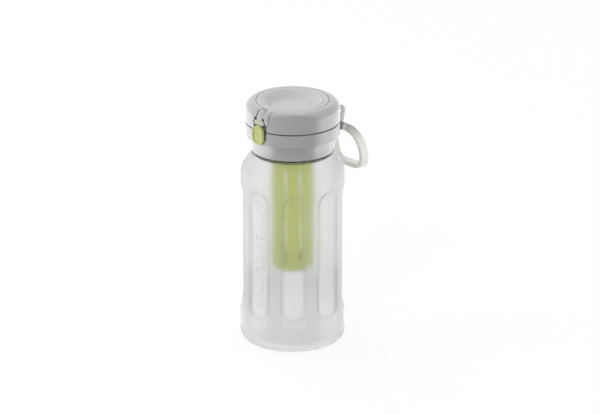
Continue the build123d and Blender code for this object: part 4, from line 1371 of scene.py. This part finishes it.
class BOTTLE_OT_stage(bpy.types.Operator):
    """Floor, light and camera"""

    bl_idname = "bottle.stage"
    bl_label = "Stage"

    azimuth: bpy.props.FloatProperty(
        name="Azimuth", description="Camera's turn round the bottle",
        default=math.radians(44), subtype="ANGLE",
    )
    elevation: bpy.props.FloatProperty(
        name="Elevation", description="Camera's height above the horizon",
        default=math.radians(20), subtype="ANGLE",
    )

    def execute(self, context):
        a, e = self.azimuth, self.elevation
        self.side = Vector((math.cos(a), math.sin(a), 0))
        self.front = Vector((math.sin(a), -math.cos(a), 0))
        self.view = Vector((math.sin(a) * math.cos(e), -math.cos(a) * math.cos(e), math.sin(e)))
        self.floor()
        self.cards()
        self.sky(context)
        self.lamps(context)
        self.camera(context)
        context.scene.view_settings.view_transform = "Standard"
        return {"FINISHED"}

    def floor(self):
        """White floor that takes the bottle's shadow."""
        shape = bmesh.new()
        bmesh.ops.create_grid(shape, x_segments=8, y_segments=8, size=FLOOR_SIZE)
        ground = as_object(in_metres(shape), "floor")
        tree = Tree(bpy.data.materials.new("floor_white"))
        colour = tree.mix(tree.noise(3.0), grey(0.88), grey(0.90))
        paint = tree.node("BsdfDiffuse", sockets={"Color": colour})
        glow = tree.node("Emission", sockets={"Color": grey(1), "Strength": 1.0})
        blend = tree.node("MixShader", sockets={0: tree.seen() * 0.88, 1: paint, 2: glow})
        ground.data.materials.append(tree.finish(blend))

    def graded(self, name, strength):
        """Card material: dark cloth in front of the bottle, glowing paper at the sides."""
        tree = Tree(bpy.data.materials.new(name))
        where = tree.place()
        across, ahead = (tree.along(where, way) for way in (self.side, self.front))
        angle = tree.math("ABSOLUTE", tree.math("ARCTAN2", across, ahead))
        weave = tree.mix(tree.noise(40.0), grey(0.08), grey(0.12))
        cloth = tree.node("BsdfDiffuse", sockets={"Color": weave})
        level = 1.0 - DIMMING * tree.ramp(angle, *PAPER_DIMS)
        glow = {"Color": tree.mix(level, grey(0), grey(1)), "Strength": strength}
        paper = tree.node("Emission", sockets=glow)
        share = tree.ramp(angle, *CLOTH_ENDS)
        return tree.finish(tree.node("MixShader", sockets={0: share, 1: cloth, 2: paper}))

    def card(self, shape, name, cloth):
        """Card that faces the camera's way and shows only as a reflection."""
        turn_about_z(shape, self.azimuth)
        card = as_object(in_metres(shape), name)
        card.data.materials.append(cloth)
        hide(card, "camera", "transmission", "diffuse", "shadow")

    def cards(self):
        """Cards that shade the reflections: one on the floor, and one over the camera."""
        ring = spun(rectangle(*FLOOR_CARD), CARD_STEPS)
        self.card(ring, "floor_card", self.graded("floor_cloth", FLOOR_PAPER))
        quarter = arc((0, 0), LEANING_CARD_R, 0, LEANING_CARD_RISE)
        dome = spun(quarter, LEANING_CARD_STEPS, False, LEANING_CARD_START, LEANING_CARD_SWEEP)
        self.card(dome, "leaning_card", self.graded("leaning_cloth", LEANING_PAPER))

    def sky(self, context):
        """Plain white surroundings, with a little more light from the left."""
        world = bpy.data.worlds.new("studio")
        context.scene.world = world
        tree = Tree(world)
        left = tree.along(tree.node("TexCoord", output="Generated"), -self.side)
        seen = tree.seen()
        strength = seen + (1.0 - seen) * (0.66 + 0.10 * left)
        glow = tree.node("Background", sockets={"Color": grey(1), "Strength": strength})
        tree.finish(glow, "World")

    def aimed(self, context, name, data, place, ahead):
        """Lamp or camera at a place, turned to look ahead."""
        made = bpy.data.objects.new(name, data)
        made.location = place
        made.rotation_mode = "QUATERNION"
        made.rotation_quaternion = ahead.to_track_quat("-Z", "Y")
        context.scene.collection.objects.link(made)
        return made

    def lamps(self, context):
        """Soft boxes at both sides, one behind, and a fill from the front."""
        side, front, up = self.side, self.front, Vector((0, 0, 1))
        boxes = {
            "left_box": (side * -1.3 + front * 0.1 + up * 0.5, (0.9, 1.3), 8.0),
            "right_box": (side * 1.3 + front * 0.1 + up * 0.5, (0.9, 1.3), 5.0),
            "back_box": (side * -0.5 - front * 0.8 + up * 1.3, (1.0, 1.0), 7.0),
            "front_fill": (front * 1.6 - side * 0.6 + up * 1.2, (0.8, 0.8), 11.0),
        }
        for name, (place, size, power) in boxes.items():
            data = bpy.data.lights.new(name, "AREA")
            data.shape = "RECTANGLE"
            data.size, data.size_y = size
            data.energy = power
            lamp = self.aimed(context, name, data, place, up * LAMP_GOAL - place)
            hide(lamp, "camera", "glossy", "transmission")

    def camera(self, context):
        """Far camera with a long lens, at the photograph's angle."""
        data = bpy.data.cameras.new("view")
        data.lens = CAMERA_LENS
        data.sensor_width = CAMERA_SENSOR
        distance = PICTURE_WIDTH * PIXEL * MILLIMETRE * data.lens / data.sensor_width
        goal = Vector((0, 0, CAMERA_GOAL * MILLIMETRE))
        goal += self.side * (CAMERA_SHIFT * PIXEL * MILLIMETRE)
        place = goal + self.view * distance
        context.scene.camera = self.aimed(context, "view", data, place, -self.view)


OPERATORS = (
    BOTTLE_OT_stage,
    BOTTLE_OT_body,
    BOTTLE_OT_scale,
    BOTTLE_OT_threads,
    BOTTLE_OT_seals,
    BOTTLE_OT_cap,
    BOTTLE_OT_spout,
    BOTTLE_OT_infuser,
    BOTTLE_OT_lid,
    BOTTLE_OT_clasp,
    BOTTLE_OT_button,
    BOTTLE_OT_hinge,
    BOTTLE_OT_loop,
)


class BOTTLE_PT_panel(bpy.types.Panel):
    """Sidebar panel that lists the pieces."""

    bl_idname = "BOTTLE_PT_panel"
    bl_label = "Infuser bottle"
    bl_space_type = "VIEW_3D"
    bl_region_type = "UI"
    bl_category = "Bottle"

    def draw(self, context):
        for group in (context.scene.bottle_sizes, context.scene.bottle_colours):
            box = self.layout.box()
            for name in group.bl_rna.properties.keys():
                if name not in ("rna_type", "name"):
                    box.prop(group, name)
        for operator in OPERATORS:
            self.layout.operator(operator.bl_idname)


CLASSES = (BOTTLE_PG_sizes, BOTTLE_PG_colours, *OPERATORS, BOTTLE_PT_panel)


def register():
    for cls in CLASSES:
        bpy.utils.register_class(cls)
    bpy.types.Scene.bottle_sizes = bpy.props.PointerProperty(type=BOTTLE_PG_sizes)
    bpy.types.Scene.bottle_colours = bpy.props.PointerProperty(type=BOTTLE_PG_colours)


def unregister():
    del bpy.types.Scene.bottle_colours
    del bpy.types.Scene.bottle_sizes
    for cls in reversed(CLASSES):
        bpy.utils.unregister_class(cls)


def main():
    register()
    for operator in OPERATORS:
        group, name = operator.bl_idname.split(".")
        result = getattr(getattr(bpy.ops, group), name)()
        if result != {"FINISHED"}:
            raise RuntimeError(f"{operator.bl_idname} did not finish")


if __name__ == "__main__":
    main()
